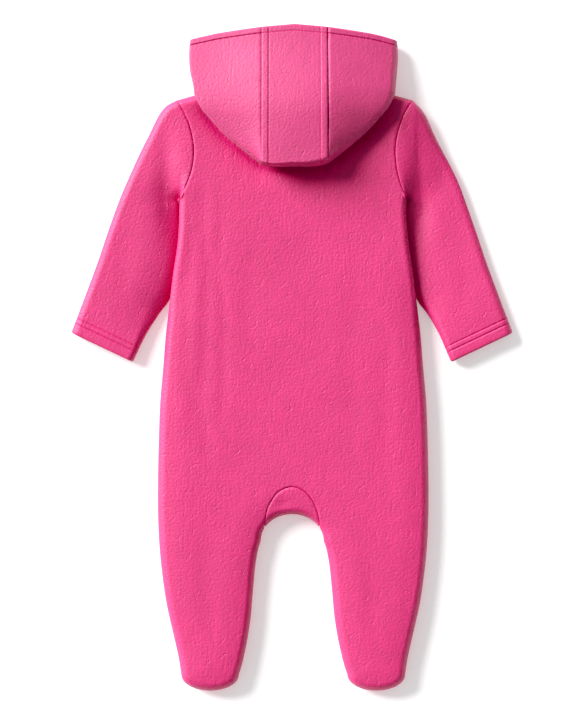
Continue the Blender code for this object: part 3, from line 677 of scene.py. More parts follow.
def stations(length, pitch, *fine):
    """Shares from 0 to 1 over a length, usually pitch apart and closer in each (start, end) of fine."""
    at = np.linspace(0, length, 3000)
    close = np.zeros(len(at))
    for start, end in fine:
        close = np.maximum(close, smooth(start - FINE_EASE, start, at) * smooth(end + FINE_EASE, end, at))
    spacing = pitch * (FINE_PITCH / pitch) ** close
    count = np.concatenate([[0], np.cumsum(np.diff(at) / spacing[1:])])
    return np.interp(np.linspace(0, count[-1], math.ceil(count[-1]) + 1), count, at) / length


def across(width, u, edged):
    """How far out from a body piece's inner side a column lies: crowded beside its outer edge and, where
    edged is 1, beside its inner one."""
    inner = mixed((width - EDGE_REACH) * OPEN_SHARE, EDGE_REACH, edged)
    near = inner * np.clip(u / OUTER_COLUMNS, 0, 1) ** (1 + (EDGE_POWER - 1) * edged)
    middle = (width - EDGE_REACH - inner) * np.clip((u - OUTER_COLUMNS) / (1 - 2 * OUTER_COLUMNS), 0, 1)
    far = EDGE_REACH * (1 - np.clip((1 - u) / OUTER_COLUMNS, 0, 1) ** EDGE_POWER)
    return near + middle + far


def coons(bottom, top, left, right, spread=None):
    """A plan between four edges, each a function of 0 to 1 that returns points in plan. spread, where
    given, says how far across each column lies."""

    def plan(u, v):
        u, v = u[:, None], v[:, None]
        columns = u[:, 0]
        u = u if spread is None else spread(columns)[:, None]
        corners = [bottom(np.array([0.0, 1.0])), top(np.array([0.0, 1.0]))]
        flat = (
            (1 - u) * (1 - v) * corners[0][0] + u * (1 - v) * corners[0][1]
            + (1 - u) * v * corners[1][0] + u * v * corners[1][1]
        )
        ruled = (1 - v) * bottom(columns) + v * top(columns)
        return ruled + (1 - u) * left(v[:, 0]) + u * right(v[:, 0]) - flat

    return plan


def along_rows(points):
    """The length of cloth from the first column to each point."""
    return np.cumsum(np.linalg.norm(np.diff(points, axis=1, prepend=points[:, :1]), axis=2), axis=1)


def in_plan(turn=0.0):
    """Grain that lies at an angle in plan. Across a row it is lengthened by what rolls down at the edges."""
    cos, sin = math.cos(turn), math.sin(turn)

    def grain(points):
        plan = points[..., :2] @ np.array([[cos, -sin], [sin, cos]])
        extra = along_rows(points) - along_rows(points[..., :2])
        extra -= extra[:, extra.shape[1] // 2][:, None]
        plan[..., 0] += extra * np.sign(np.diff(plan[..., 0], axis=1).mean())
        return plan

    return grain


class Patch:
    """Part of a piece's outer face, with the columns and rows of its mesh. grain gives the cloth's own
    measures, and hem is True where its last row is turned in."""

    def __init__(self, place, columns, rows, grain, hem=False):
        self.place, self.columns, self.rows = place, columns, rows
        self.grain, self.hem = grain, hem

    def points(self):
        u, v = np.meshgrid(self.columns, self.rows)
        return self.place(u.ravel(), v.ravel()).reshape(len(self.rows), len(self.columns), 3)

    def edge(self, name):
        """Points along one side."""
        along = np.linspace(0, 1, EDGE_POINTS)
        still = np.full(EDGE_POINTS, float(name in ("right", "top")))
        if name in ("left", "right"):
            return self.place(still * self.columns[-1], along * self.rows[-1])
        return self.place(along * self.columns[-1], still * self.rows[-1])

    def inset(self, name, inset, first=0.0):
        """A line at a distance in from one side, from a share of its length on."""
        along, into = np.linspace(first, 1, INSET_POINTS), INSET_REACH * np.linspace(0, 1, 90) ** 1.4
        if name in ("right", "top"):
            into = (self.columns if name == "right" else self.rows)[-1] - into
        spread, depth = (part.ravel() for part in np.meshgrid(along, into, indexing="ij"))
        at = self.place(depth, spread) if name in ("left", "right") else self.place(spread, depth)
        at = at.reshape(INSET_POINTS, len(into), 3)
        far = along_rows(at)
        return np.array([[np.interp(inset, f, p[:, k]) for k in range(3)] for f, p in zip(far, at)])


def raised(plan, heights, hand):
    """Points in space from a plan and a height rule, on the right (hand 1) or the left (-1)."""

    def place(u, v):
        flat = plan(u, v)
        return lean(np.column_stack([hand * flat[:, 0], flat[:, 1], heights(flat)]))

    return place


def body_patches(hand, heights, centre, neck_drop, first_turn, pitch):
    """The patches of half a front or back: upper, torso, crotch, leg and foot."""
    open_front = float(heights is body_bottom)

    def level(u, up):
        return pair(centre(up) + across(side(up) - centre(up), u, open_front), up)

    def torso(u, v):
        seam = crotch_zone(u, np.ones_like(u)) - level(u, np.full_like(u, ARCH_TOP_UP))
        return level(u, mixed(ARCH_TOP_UP, UNDERARM_UP, v)) + seam * ((1 - v) ** 2)[:, None]

    def low(u):
        return torso(u, np.ones_like(u))

    def high(u):
        neck = np.clip(u / NECK_COLUMN, 0, 1)
        slope = np.clip((u - NECK_COLUMN) / (1 - NECK_COLUMN), 0, 1)
        start = math.asin(centre(NECK_SIDE_UP) / NECK_SIDE_OUT)
        out = NECK_SIDE_OUT * np.sin(mixed(start, math.pi / 2, neck))
        shoulder = line_between((NECK_SIDE_OUT, NECK_SIDE_UP), arm(np.ones(1))[0])(slope)
        return np.where(slope[:, None] > 0, shoulder, pair(out, neckline(out, neck_drop)))

    def spread(u):
        out = low(u)[:, 0]
        ends = low(np.array([0.0, 1.0]))[:, 0]
        return (out - ends[0]) / (ends[1] - ends[0])

    def middle(v):
        up = mixed(UNDERARM_UP, neckline(centre(NECK_SIDE_UP), neck_drop), v)
        return pair(centre(up), up)

    def arm(v):
        return armhole(1 - v) - np.outer(np.clip(v * 20, 0, 1), SHOULDER_RUN * SEAM_GAP)

    def crotch_zone(u, v):
        turn = mixed(math.pi / 2, first_turn, v)
        seam = arch(turn) + SEAM_GAP * np.column_stack([np.sin(turn), np.cos(turn)])
        edge_up = mixed(ARCH_END_UP, ARCH_TOP_UP, v)
        edge = pair(side(edge_up), edge_up)
        width = edge[:, 0] - seam[:, 0]
        return mixed(seam, edge, (across(width, u, 1.0) / width)[:, None])

    def leg(u, v):
        up = mixed(FOOT_CAP_UP, ARCH_END_UP, v)
        inner = inside(up) + SEAM_GAP * smooth(CROTCH_WIDEST_UP, ARCH_END_UP, up)
        return pair(inner + across(side(up) - inner, u, 1.0), up)

    def foot(u, v):
        width = side(FOOT_CAP_UP) - inside(np.array(FOOT_CAP_UP))
        return foot_cap(2 * across(width, u, 1.0) / width - 1, v)

    upper = NECK_SIDE_UP - UNDERARM_UP
    grain = in_plan()
    columns = np.linspace(0, 1, BODY_COLUMNS)
    turned = np.linspace(0, math.pi / 2, 26)
    parts = (
        (coons(low, high, middle, arm, spread), stations(upper, pitch, (upper - 2, upper))),
        (torso, stations(UNDERARM_UP - ARCH_TOP_UP, pitch, (0, 2))),
        (crotch_zone, 1 - np.cos(turned)),
        (leg, stations(ARCH_END_UP - FOOT_CAP_UP, pitch)),
        (foot, np.sin(turned[::2])),
    )
    return [Patch(raised(plan, heights, hand), columns, rows, grain) for plan, rows in parts]


def gusset_patches(top):
    """The gusset between its seam and the crotch edge, on top or underneath."""

    def plan(u, v):
        turn = mixed(-GUSSET_TURN, GUSSET_TURN, u) * math.pi / 180
        seam, edge = arch(np.abs(turn)), crotch(np.abs(turn))
        toward = edge - seam
        seam = seam + toward * (SEAM_GAP / np.linalg.norm(toward, axis=1))[:, None]
        flat = mixed(seam, edge, np.sin(v * math.pi / 2)[:, None])
        return np.column_stack([flat[:, 0] * np.sign(turn), flat[:, 1]])

    def heights(flat):
        return (body_top if top else body_bottom)(np.column_stack([np.abs(flat[:, 0]), flat[:, 1]]), 0)

    return Patch(raised(plan, heights, 1), np.linspace(0, 1, 91), np.linspace(0, 1, 25) ** 1.25, in_plan())


def sleeve_patch(hand, top, pitch):
    """A sleeve's top or lower layer, down to where its cuff turns in."""

    def place(u, v):
        wide = (1 - np.cos(u * math.pi)) / 2
        outer, inner = sleeve_edges(v)
        plan = mixed(outer, inner, wide[:, None]) - pair(bow(wide) * (1 - v) ** (4 + 26 * wide), 0)
        high = sleeve_heights(plan, wide, v, top, int(hand > 0))
        return lean(np.column_stack([hand * plan[:, 0], plan[:, 1], high]))

    end = SLEEVE_LONG - HEM_TURN
    first, last = (SLEEVE_LONG - inset for inset in reversed(CUFF_STITCH_IN))
    rows = stations(end, pitch, (0, 2), (first - 1, last + 1)) * end / SLEEVE_LONG
    return Patch(place, np.linspace(0, 1, SLEEVE_COLUMNS), rows, in_plan(hand * SLEEVE_TURN), True)


def hood_rows(pitch):
    """The rows of the hood's top layer, and of its layer on the back."""
    near_brow = HOOD_FOLD_TALL - BROW_STITCH_IN - 1
    tall = stations(HOOD_FOLD_TALL, pitch * HOOD_PITCH[1], (0, 2), (near_brow, HOOD_FOLD_TALL))
    return tall, stations(HOOD_UNDER_DEEP, pitch, (0, 2), (HOOD_UNDER_DEEP - 2, HOOD_UNDER_DEEP))


def hood_side_patches(hand, pitch):
    """A side panel of the hood: top layer, the layer on the back, and the flap beside the face. The top
    and the flap end where the hem turns in."""
    start = HOOD_SEAM_OUT + SEAM_GAP / 2
    width = HOOD_FOLD[-1][0] - start
    brow_width = HOOD_BROW[-1][0] - start

    def fold(u):
        out = start + u * width
        return pair(out, through(HOOD_FOLD, out))

    def brow(u):
        out = start + u * brow_width
        return pair(out, through(HOOD_BROW, out) - HEM_TURN)

    def face_side(v):
        up = mixed(HOOD_SIDE[0][0], HOOD_SIDE[-1][0] - HEM_TURN, v)
        return pair(through(HOOD_SIDE, up), up)

    def back_neck(u):
        out = mixed(start, HOOD_NECK[0], u)
        return pair(out, neckline(out, BACK_NECK_DROP, HOOD_NECK))

    def front_neck(u):
        angle = mixed(math.asin(CHEEK[0][0] / NECK_SIDE_OUT), math.pi / 2, u)
        return HOOD_NECK * pair(np.sin(angle), 1) - pair(0, (FRONT_NECK_DROP - 3 * SEAM_GAP) * np.cos(angle))

    def lower(u):
        shoulder = line_between(neck_corner, corner)(np.clip((u - NECK_SHARE) / (1 - NECK_SHARE), 0, 1))
        return np.where(u[:, None] > NECK_SHARE, shoulder, front_neck(np.clip(u / NECK_SHARE, 0, 1)))

    def cheek(u):
        first, pull, last = (np.array(point, float) for point in CHEEK)
        u = u[:, None]
        return (1 - u) ** 2 * first + 2 * u * (1 - u) * pull + u**2 * last - pair(0 * u[:, 0], HEM_TURN)

    nought, one = np.zeros(1), np.ones(1)
    corner, neck_corner = fold(one)[0], HOOD_NECK
    cheek_end, brow_end = cheek(one)[0], face_side(one)[0]
    top = coons(fold, brow, line_between(fold(nought)[0], brow(nought)[0]), face_side)
    under = coons(back_neck, fold, line_between(back_neck(nought)[0], fold(nought)[0]),
                  line_between(neck_corner, corner))
    flap = coons(lower, lambda u: cheek(u) + np.outer(u, brow_end - cheek_end),
                 line_between(front_neck(nought)[0], cheek(nought)[0]), face_side)
    wide = stations(width, pitch * HOOD_PITCH[0], (0, 3), (width - 2, width))
    tall, deep = hood_rows(pitch)
    neck = NECK_SHARE * np.linspace(0, 1, 37)[:-1]
    flap_columns = np.concatenate([neck, NECK_SHARE + (1 - NECK_SHARE) * deep])
    layers = (
        (top, lambda flat: hood_top(flat, hand), wide, tall, True),
        (under, lambda flat: hood_under(flat, False, hand), wide, deep, False),
        (flap, lambda flat: hood_under(flat, True, hand), flap_columns, tall, True),
    )
    grain = in_plan(hand * HOOD_TURN)
    return [Patch(raised(plan, heights, hand), columns, rows, grain, hem)
            for plan, heights, columns, rows, hem in layers]


def hood_gusset_patches(pitch):
    """The centre strip of the hood, from the back neck down to the fold and up to the brow."""
    half = HOOD_SEAM_OUT - SEAM_GAP / 2

    def strip(first, last):
        def plan(u, v):
            out = mixed(-half, half, u)
            return pair(out, mixed(first(np.abs(out)), last(np.abs(out)), v))

        return plan

    def both_sides(rule):
        def heights(flat):
            mirrored = np.column_stack([np.abs(flat[:, 0]), flat[:, 1]])
            return np.where(flat[:, 0] < 0, rule(mirrored, -1), rule(mirrored, 1))

        return heights

    def fold(out):
        return through(HOOD_FOLD, out)

    band_end = BAND_WIDE + 1.5
    columns = stations(2 * half, pitch * HOOD_PITCH[0], (0, band_end), (2 * half - band_end, 2 * half))
    tall, deep = hood_rows(pitch)
    top = strip(fold, lambda out: through(HOOD_BROW, out) - HEM_TURN)
    under = strip(lambda out: neckline(out, BACK_NECK_DROP, HOOD_NECK), fold)
    lower = both_sides(lambda flat, hand: hood_under(flat, False, hand))
    return [
        Patch(raised(top, both_sides(hood_top), 1), columns, tall, in_plan(), True),
        Patch(raised(under, lower, 1), columns, deep, in_plan()),
    ]


# --- Relief -----------------------------------------------------------------------------------
# A rule gives how far the cloth stands out at each point, below zero where it is pressed in.


def spaced(line, pitch):
    """The line again, with its points evenly spaced."""
    far = np.concatenate([[0], np.cumsum(np.linalg.norm(np.diff(line, axis=0), axis=1))])
    at = np.linspace(0, far[-1], max(round(far[-1] / pitch), 1) + 1)
    return np.column_stack([np.interp(at, far, line[:, axis]) for axis in range(3)])


def beside(lines, rule):
    """A rule by each point's distance from the nearest of the lines, and how far along that is."""
    parts = [spaced(line, LINE_PITCH) for line in lines]
    line = Line(np.concatenate(parts))
    along = np.concatenate([np.arange(len(part)) * LINE_PITCH for part in parts])

    def relief(at):
        found = [line.tree.find(point) for point in at]
        return rule(np.array([far for _, _, far in found]), along[[number for _, number, _ in found]])

    return relief


def seam(depth, reach=SEAM_REACH):
    """Cloth that rolls down into a seam, a little uneven along it."""

    def rule(far, along):
        pull = np.sin(along / 2.3 + 2 * np.sin(along / 11)) * np.exp(-((far / reach) ** 2))
        return -depth * (1 - roll(far, reach)) + SEAM_PULL * pull

    return rule


def groove(depth, half=STITCH_HALF):
    """A line of stitches that pulls the cloth down, most at each stitch."""

    def rule(far, along):
        pull = 1 - STITCH_PULL + STITCH_PULL * np.cos(along * 2 * math.pi / STITCH_WAVE)
        return -depth * pull * np.exp(-((far / half) ** 2))

    return rule


def band(high, wide, edge=1.0):
    """Cloth that lies thicker within a distance of a line."""
    return lambda far, along: high * smooth(wide + edge / 2, wide - edge, far)


def troughs(table):
    """Soft lengthways troughs, each a little crooked."""

    def relief(points):
        out, up, _ = points.T
        total = np.zeros(len(points))
        for number, (middle, low, high, half, depth) in enumerate(table):
            wander = sum(far * np.sin(up / wave + number * shift) for far, wave, shift in TROUGH_WANDER)
            ends = smooth(low - 25, low + 30, up) * smooth(high + 30, high - 25, up)
            total -= depth * ends * np.exp(-(((out - middle - wander) / half) ** 2))
        return total

    return relief


def unevenness(cut, hand=0):
    """The slight unevenness of cloth that lies loose."""
    high, size, seed = UNEVEN[cut]
    seed += hand

    def relief(points):
        shift = Vector((seed * 7.3, seed * 3.1, seed * 1.7))
        return high * np.array([noise.noise(Vector(point) / size + shift) for point in points])

    return relief


def dimple(middle, half, depth):
    return lambda points: -depth * np.exp(-(((points[:, :2] - middle) / half) ** 2).sum(1))


# --- Meshes -----------------------------------------------------------------------------------


def in_frame(points):
    """From millimetres up from the foot end to metres in the frame."""
    return (np.asarray(points, float) - (0, LENGTH / 2, 0)) * MM


def in_tables(points):
    return np.asarray(points, float) / MM + (0, LENGTH / 2, 0)


def linked(name, bm, material):
    """An object in the scene with this mesh and material."""
    mesh = bpy.data.meshes.new(name)
    bm.to_mesh(mesh)
    bm.free()
    mesh.materials.append(material)
    made = bpy.data.objects.new(name, mesh)
    bpy.context.scene.collection.objects.link(made)
    return made


def finished(name, bm, surface, slot, body="garment", node=None):
    """A piece that rides on a body and, where node is given, stands for a solid."""
    for face in bm.faces:
        face.smooth = True
    piece = linked(name, bm, surface)
    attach(piece, body)
    if node:
        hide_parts(node)
    return piece


def extruded(bm):
    """Gives a sheet a second face, and returns that face's verts."""
    made = bmesh.ops.extrude_face_region(bm, geom=bm.verts[:] + bm.edges[:] + bm.faces[:], use_keep_orig=True)
    return [part for part in made["geom"] if isinstance(part, bmesh.types.BMVert)]


def repeated(one, turns):
    """A small shape, once at each of the turns."""
    shape = bpy.data.meshes.new("shape")
    one.to_mesh(shape)
    one.free()
    bm = bmesh.new()
    for turn in turns:
        shape.transform(turn)
        bm.from_mesh(shape)
        shape.transform(turn.inverted())
    bpy.data.meshes.remove(shape)
    return bm


def laid_out(bm, patches):
    """Grids for the patches, joined where their edges meet, with the cloth's own measures as UV."""
    measures, rim = bm.loops.layers.uv[GRAIN], bm.verts.layers.int["rim"]
    for patch in patches:
        wide, tall = len(patch.columns), len(patch.rows)
        count = len(bm.faces)
        verts = bmesh.ops.create_grid(bm, x_segments=wide - 1, y_segments=tall - 1, size=1)["verts"]
        points = patch.points()
        for number, (vert, place) in enumerate(zip(verts, in_frame(points.reshape(-1, 3)))):
            vert.co = place
            vert.index = number
        if patch.hem:
            for vert in verts[-wide:]:
                vert[rim] = 1
        grain = patch.grain(points).reshape(-1, 2) * MM
        bm.faces.ensure_lookup_table()
        for face in bm.faces[count:]:
            for loop in face.loops:
                loop[measures].uv = grain[loop.vert.index]
    bmesh.ops.remove_doubles(bm, verts=bm.verts, dist=WELD)
    bmesh.ops.dissolve_degenerate(bm, edges=bm.edges, dist=WELD / 10)


def face_out(bm, looks_up):
    """Turns the faces of a sheet outwards: its highest point faces up, or its lowest one down."""
    bmesh.ops.recalc_face_normals(bm, faces=bm.faces)
    bm.normal_update()
    if looks_up:
        right = max(bm.verts, key=lambda vert: vert.co.z).normal.z > 0
    else:
        right = min(bm.verts, key=lambda vert: vert.co.z).normal.z < 0
    if not right:
        bmesh.ops.reverse_faces(bm, faces=bm.faces)
        bm.normal_update()


def turned_hem(bm, turn, deep):
    """Turns the cloth in at a free edge: half a round of radius turn, then a flat layer back inside."""
    measures, number_of = bm.loops.layers.uv[GRAIN], bm.verts.layers.int["number"]
    rim = bm.verts.layers.int["rim"]
    edges = [edge for edge in bm.edges if edge.is_boundary and all(vert[rim] for vert in edge.verts)]
    on_edge = set(edges)
    rim_points = []
    for number, vert in enumerate(sorted({v for edge in edges for v in edge.verts}, key=lambda v: v.index)):
        vert[number_of] = number
        inner = [edge.other_vert(vert).co for edge in vert.link_edges if edge not in on_edge]
        inward = sum(((co - vert.co).normalized() for co in inner), Vector())
        out = vert.normal.copy()
        ahead = -inward
        ahead -= ahead.dot(out) * out
        rim_points.append((vert.co.copy(), ahead.normalized(), out, vert.link_loops[0][measures].uv.copy()))
    half_round = math.pi * turn
    length = half_round + deep
    round_share = half_round / length
    for share in [*np.linspace(0, round_share, 9)[1:], *np.linspace(round_share, 1, 6)[1:]]:
        gone = share * length
        angle = min(gone / turn, math.pi)
        forward = turn * math.sin(angle) - max(gone - half_round, 0)
        made = bmesh.ops.extrude_edge_only(bm, edges=edges)["geom"]
        edges = [part for part in made if isinstance(part, bmesh.types.BMEdge)]
        for vert in made:
            if isinstance(vert, bmesh.types.BMVert):
                start, ahead, out, _ = rim_points[vert[number_of]]
                vert.co = start + ahead * forward + out * turn * (math.cos(angle) - 1)
        for face in {face for edge in edges for face in edge.link_faces}:
            for loop in face.loops:
                uv = rim_points[loop.vert[number_of]][3]
                loop[measures].uv = (uv[0], uv[1] + gone)


def cloth(name, patches, looks_up, reliefs, wall, surface, plain=None, hem_deep=None, node=None,
          slot="pink_knit"):
    """A piece of cloth as a closed wall: its outer face is the patches with their relief, and its inner
    one lies smoothly inside. plain, a rule from 0 to 1, says where the cloth isn't embossed."""
    bm = bmesh.new()
    bm.loops.layers.uv.new(GRAIN)
    bm.verts.layers.float.new(EMBOSSED)
    for layer in ("rim", "number"):
        bm.verts.layers.int.new(layer)
    laid_out(bm, patches)
    face_out(bm, looks_up)
    if hem_deep:
        bm.verts.index_update()
        turned_hem(bm, HEM_TURN * MM, hem_deep * MM)
        face_out(bm, looks_up)
    points = in_tables([vert.co for vert in bm.verts])
    high = sum(relief(points) for relief in reliefs) * MM if reliefs else np.zeros(len(points))
    bare = plain(points) if plain else np.zeros(len(points))
    embossing, number_of = bm.verts.layers.float[EMBOSSED], bm.verts.layers.int["number"]
    outer, ways = list(bm.verts), [vert.normal.copy() for vert in bm.verts]
    for number, (vert, share) in enumerate(zip(outer, bare)):
        vert[embossing] = 1 - share
        vert[number_of] = number
    for vert in extruded(bm):
        vert.co -= ways[vert[number_of]] * wall
    for vert, way, out in zip(outer, ways, high):
        vert.co.z += out * math.copysign(smooth(*RELIEF_STEP, abs(way.z)), way.z)
    for vert in bm.verts:
        vert.co.z = max(vert.co.z, CAD_LOW.z)
    bmesh.ops.recalc_face_normals(bm, faces=bm.faces)
    if bm.calc_volume(signed=True) < 0:
        bmesh.ops.reverse_faces(bm, faces=bm.faces)
    return finished(name, bm, surface, slot, node=node)


def stitched(name, piece, lines, pitch, surface):
    """Rows of thread stitches that lie on a piece along its lines."""
    tree = BVHTree.FromObject(piece, bpy.context.evaluated_depsgraph_get())
    one = bmesh.new()
    bmesh.ops.create_uvsphere(one, u_segments=6, v_segments=5, radius=1)
    size = Vector((STITCH_THICK / 2 * MM, STITCH_THICK / (2 * STITCH_FLAT) * MM, pitch * STITCH_HALF_LONG))
    bmesh.ops.scale(one, verts=one.verts, vec=size)

    def turns():
        for line in lines:
            run = in_frame(spaced(line, pitch / MM))
            for start, end in zip(run[:-1], run[1:]):
                place, out, _, _ = tree.find_nearest(Vector((start + end) / 2))
                along = Vector(end - start).normalized()
                side_way = out.cross(along).normalized()
                out = along.cross(side_way)
                turn = Matrix((side_way, out, along)).transposed().to_4x4()
                turn.translation = place + out * STITCH_LIFT * MM
                turn.translation.z = max(turn.translation.z, CAD_LOW.z + STITCH_THICK / 2 * MM)
                yield turn

    return finished(name, repeated(one, turns()), surface, "pink_knit")


# --- Materials --------------------------------------------------------------------------------


class Shade:
    """A node's output with arithmetic: an expression adds the Math nodes that work it out."""

    def __init__(self, surface, socket):
        self.surface, self.socket = surface, socket

    def math(self, operation, *others):
        values = dict(enumerate((self, *others)))
        return self.surface.node("Math", {"operation": operation}, values)

    def __add__(self, other):
        return self.math("ADD", other)

    def __sub__(self, other):
        return self.math("SUBTRACT", other)

    def __mul__(self, other):
        return self.math("MULTIPLY", other)

    def __truediv__(self, other):
        return self.math("DIVIDE", other)

    def __rsub__(self, other):
        return self.math("MULTIPLY_ADD", -1.0, other)

    __radd__, __rmul__ = __add__, __mul__


class Surface:
    """A material in the making."""

    def __init__(self, name, colour, roughness, metallic=0.0, sheen=0.0, specular=0.5):
        self.material = bpy.data.materials.new(name)
        self.material.use_nodes = True
        self.nodes, self.links = self.material.node_tree.nodes, self.material.node_tree.links
        self.shader = self.nodes["Principled BSDF"]
        self.feed(self.shader.inputs, {
            "Base Color": (*colour, 1), "Roughness": roughness, "Metallic": metallic, "Sheen Weight": sheen,
            "Sheen Roughness": 0.45, "Sheen Tint": (1, 0.62, 0.8, 1), "Specular IOR Level": specular,
        })

    def feed(self, sockets, values):
        for key, value in values.items():
            if isinstance(value, Shade):
                self.links.new(value.socket, sockets[key])
            else:
                sockets[key].default_value = value

    def node(self, kind, settings, values, output=0):
        """The output of a new node. Its settings are set first, then the values or links of its sockets."""
        made = self.nodes.new("ShaderNode" + kind)
        for key, value in settings.items():
            setattr(made, key, value)
        self.feed(made.inputs, values)
        return Shade(self, made.outputs[output])

    def noise(self, vector, scale, detail=2.0, stretch=(1, 1, 1)):
        """Noise from 0 to 1, with its grains scale per metre, stretched along each axis."""
        spread = self.node("Mapping", {}, {"Vector": vector, "Scale": stretch})
        return self.node("TexNoise", {}, {"Vector": spread, "Scale": scale, "Detail": detail}, "Fac")

    def ranged(self, value, low, high, first=0.0, last=1.0):
        """From first to last as the value goes from low to high."""
        return self.node("MapRange", {}, {
            "Value": value, "From Min": low, "From Max": high, "To Min": first, "To Max": last,
        })

    def falling(self, value, low, high):
        """1 up to low, 0 from high on and an easy slope between them."""
        return self.node("MapRange", {"interpolation_type": "SMOOTHSTEP"}, {
            "Value": value, "From Min": low, "From Max": high, "To Min": 1.0, "To Max": 0.0,
        })

    def place(self):
        """Where on the finished piece each point lies, in metres."""
        return self.node("TexCoord", {}, {}, "Object")

    def parts(self, vector):
        """The first and the second number of a vector."""
        return [self.node("SeparateXYZ", {}, {0: vector}, number) for number in (0, 1)]

    def shades(self, factor, colour, less, more):
        """The colour times less to the colour times more, by a factor from 0 to 1."""
        ends = [(*(min(part * share, 1.0) for part in colour), 1) for share in (less, more)]
        return self.node("Mix", {"data_type": "RGBA"}, {0: factor, 6: ends[0], 7: ends[1]}, 2)

    def finish(self, height=None, **values):
        if height is not None:
            values["Normal"] = self.node("Bump", {}, {"Height": height, "Distance": 1.0, "Strength": 1.0})
        self.feed(self.shader.inputs, values)
        return self.material


def blossoms(surface, s, t, settings):
    """Embossed outlines of small five-petalled blossoms in staggered rows, each turned its own way: 0 on
    plain cloth, 1 in a groove."""
    tall = settings.repeat * ROW_SHARE
    rows = t / tall
    row = rows.math("FLOOR")
    columns = s / settings.repeat + row * ROW_SHIFT
    column = columns.math("FLOOR")
    cell = surface.node("CombineXYZ", {}, {0: column, 1: row})
    turn = surface.node("TexWhiteNoise", {"noise_dimensions": "2D"}, {"Vector": cell})
    x = (columns - column - 0.5) * settings.repeat
    y = (rows - row - 0.5) * tall
    far = (x * x + y * y).math("SQRT")
    angle = y.math("ARCTAN2", x) + turn * (2 * math.pi)
    petals = (angle * 2.5).math("COSINE").math("ABSOLUTE").math("POWER", 0.7)
    outline = (far - (petals * 0.3 + 0.7) * BLOSSOM_RADIUS).math("ABSOLUTE")
    return surface.falling(outline, GROOVE_HALF * 0.2, GROOVE_HALF)


def knit_surface(name, colour, settings):
    """Thick double knit: fine wales, a felted face with soft lengthways streaks, and blossoms."""
    surface = Surface(name, colour, 0.6, sheen=0.15, specular=1.0)
    grain = surface.node("UVMap", {"uv_map": GRAIN}, {})
    s, t = surface.parts(grain)
    felt = surface.noise(grain, 430.0, 3.0)
    streaky = surface.ranged(surface.noise(grain, 14.0), 0.35, 0.65)
    streaks = surface.noise(grain, 420.0, 2.0, (1, 0.16, 1)) * streaky
    patches = surface.noise(grain, 120.0, 3.0, (1, 0.6, 1))
    wales = (s * (2 * math.pi / WALE)).math("SINE") * (t * (2 * math.pi / COURSE)).math("SINE")
    emboss = surface.node("Attribute", {"attribute_name": EMBOSSED}, {}, "Fac")
    pressed = surface.ranged(surface.noise(grain, 130.0), 0.4, 0.68)
    height = felt * FELT_DEEP + streaks * STREAK_DEEP + wales * WALE_DEEP
    height = height - blossoms(surface, s, t, settings) * emboss * pressed * settings.emboss
    tone = surface.ranged(streaks * 0.2 + patches * 0.6 + felt * 0.2, 0.3, 0.7)
    return surface.finish(height, **{
        "Base Color": surface.shades(tone, colour, 0.91, 1.09),
        "Roughness": surface.ranged(felt, 0.0, 1.0, 0.56, 0.7),
    })


def thread_surface(settings):
    """Spun thread: a fine twist across each stitch."""
    surface = Surface("sewing_thread", settings.thread, 0.6, sheen=0.2, specular=0.3)
    twist = surface.noise(surface.place(), 2600.0, 1.0)
    return surface.finish(twist * FIBRE_DEEP, **{
        "Base Color": surface.shades(twist, settings.thread, 0.9, 1.1),
    })


def tape_surface(settings):
    """Woven polyester tape: fine ribs across it in two directions."""
    surface = Surface("woven_tape", settings.tape, 0.75, specular=0.3)
    place = surface.place()
    x, y = surface.parts(place)
    turn = 2 * math.pi / TAPE_RIB
    weave = ((x + y) * turn).math("SINE") * ((x - y) * turn).math("SINE")
    fibre = surface.noise(place, 1500.0)
    return surface.finish(weave * RIB_DEEP + fibre * FIBRE_DEEP, **{
        "Base Color": surface.shades(fibre, settings.tape, 0.88, 1.08),
    })


def coil_surface(settings):
    """Moulded nylon, slightly glossy."""
    surface = Surface("nylon_coil", settings.coil, 0.4, specular=0.5)
    worn = surface.noise(surface.place(), 900.0)
    return surface.finish(worn * WORN_DEEP, **{
        "Base Color": surface.shades(worn, settings.coil, 0.92, 1.05),
        "Roughness": surface.ranged(worn, 0.0, 1.0, 0.32, 0.5),
    })


def metal_surface(settings):
    """Plated zinc with a brushed, lightly handled face."""
    surface = Surface("plated_metal", settings.metal, 0.3, metallic=1.0)
    place = surface.place()
    brushed = surface.noise(place, 1800.0, 2.0, (1, 0.08, 1))
    handled = surface.noise(place, 260.0, 3.0)
    return surface.finish(brushed * WORN_DEEP, **{
        "Base Color": surface.shades(handled, settings.metal, 0.94, 1.03),
        "Roughness": surface.ranged(brushed + handled, 0.0, 2.0, 0.22, 0.42),
    })


def surface_named(name, make, *settings):
    """The material of that name, made once."""
    return bpy.data.materials.get(name) or make(*settings)


# --- Operators --------------------------------------------------------------------------------


def edges_of(patches, spots):
    """The edges named by (patch number, side)."""
    return [patches[number].edge(name) for number, name in spots]


def above_underarm(lines):
    """The lines without what lies in the tuck at the underarm."""
    return [line[line[:, 1] > UNDERARM_UP + TUCK_TALL] for line in lines]


def declared(cut):
    """Looks up a piece's cut, and whether it lies folded or laid; nothing is made of them."""
    wide, long, area = CUTS[cut]
    folded = "hood" in cut
    held, rests_on = ("folded", ["cloth_back"]) if folded else ("laid", ["floor"])
    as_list(rests_on)


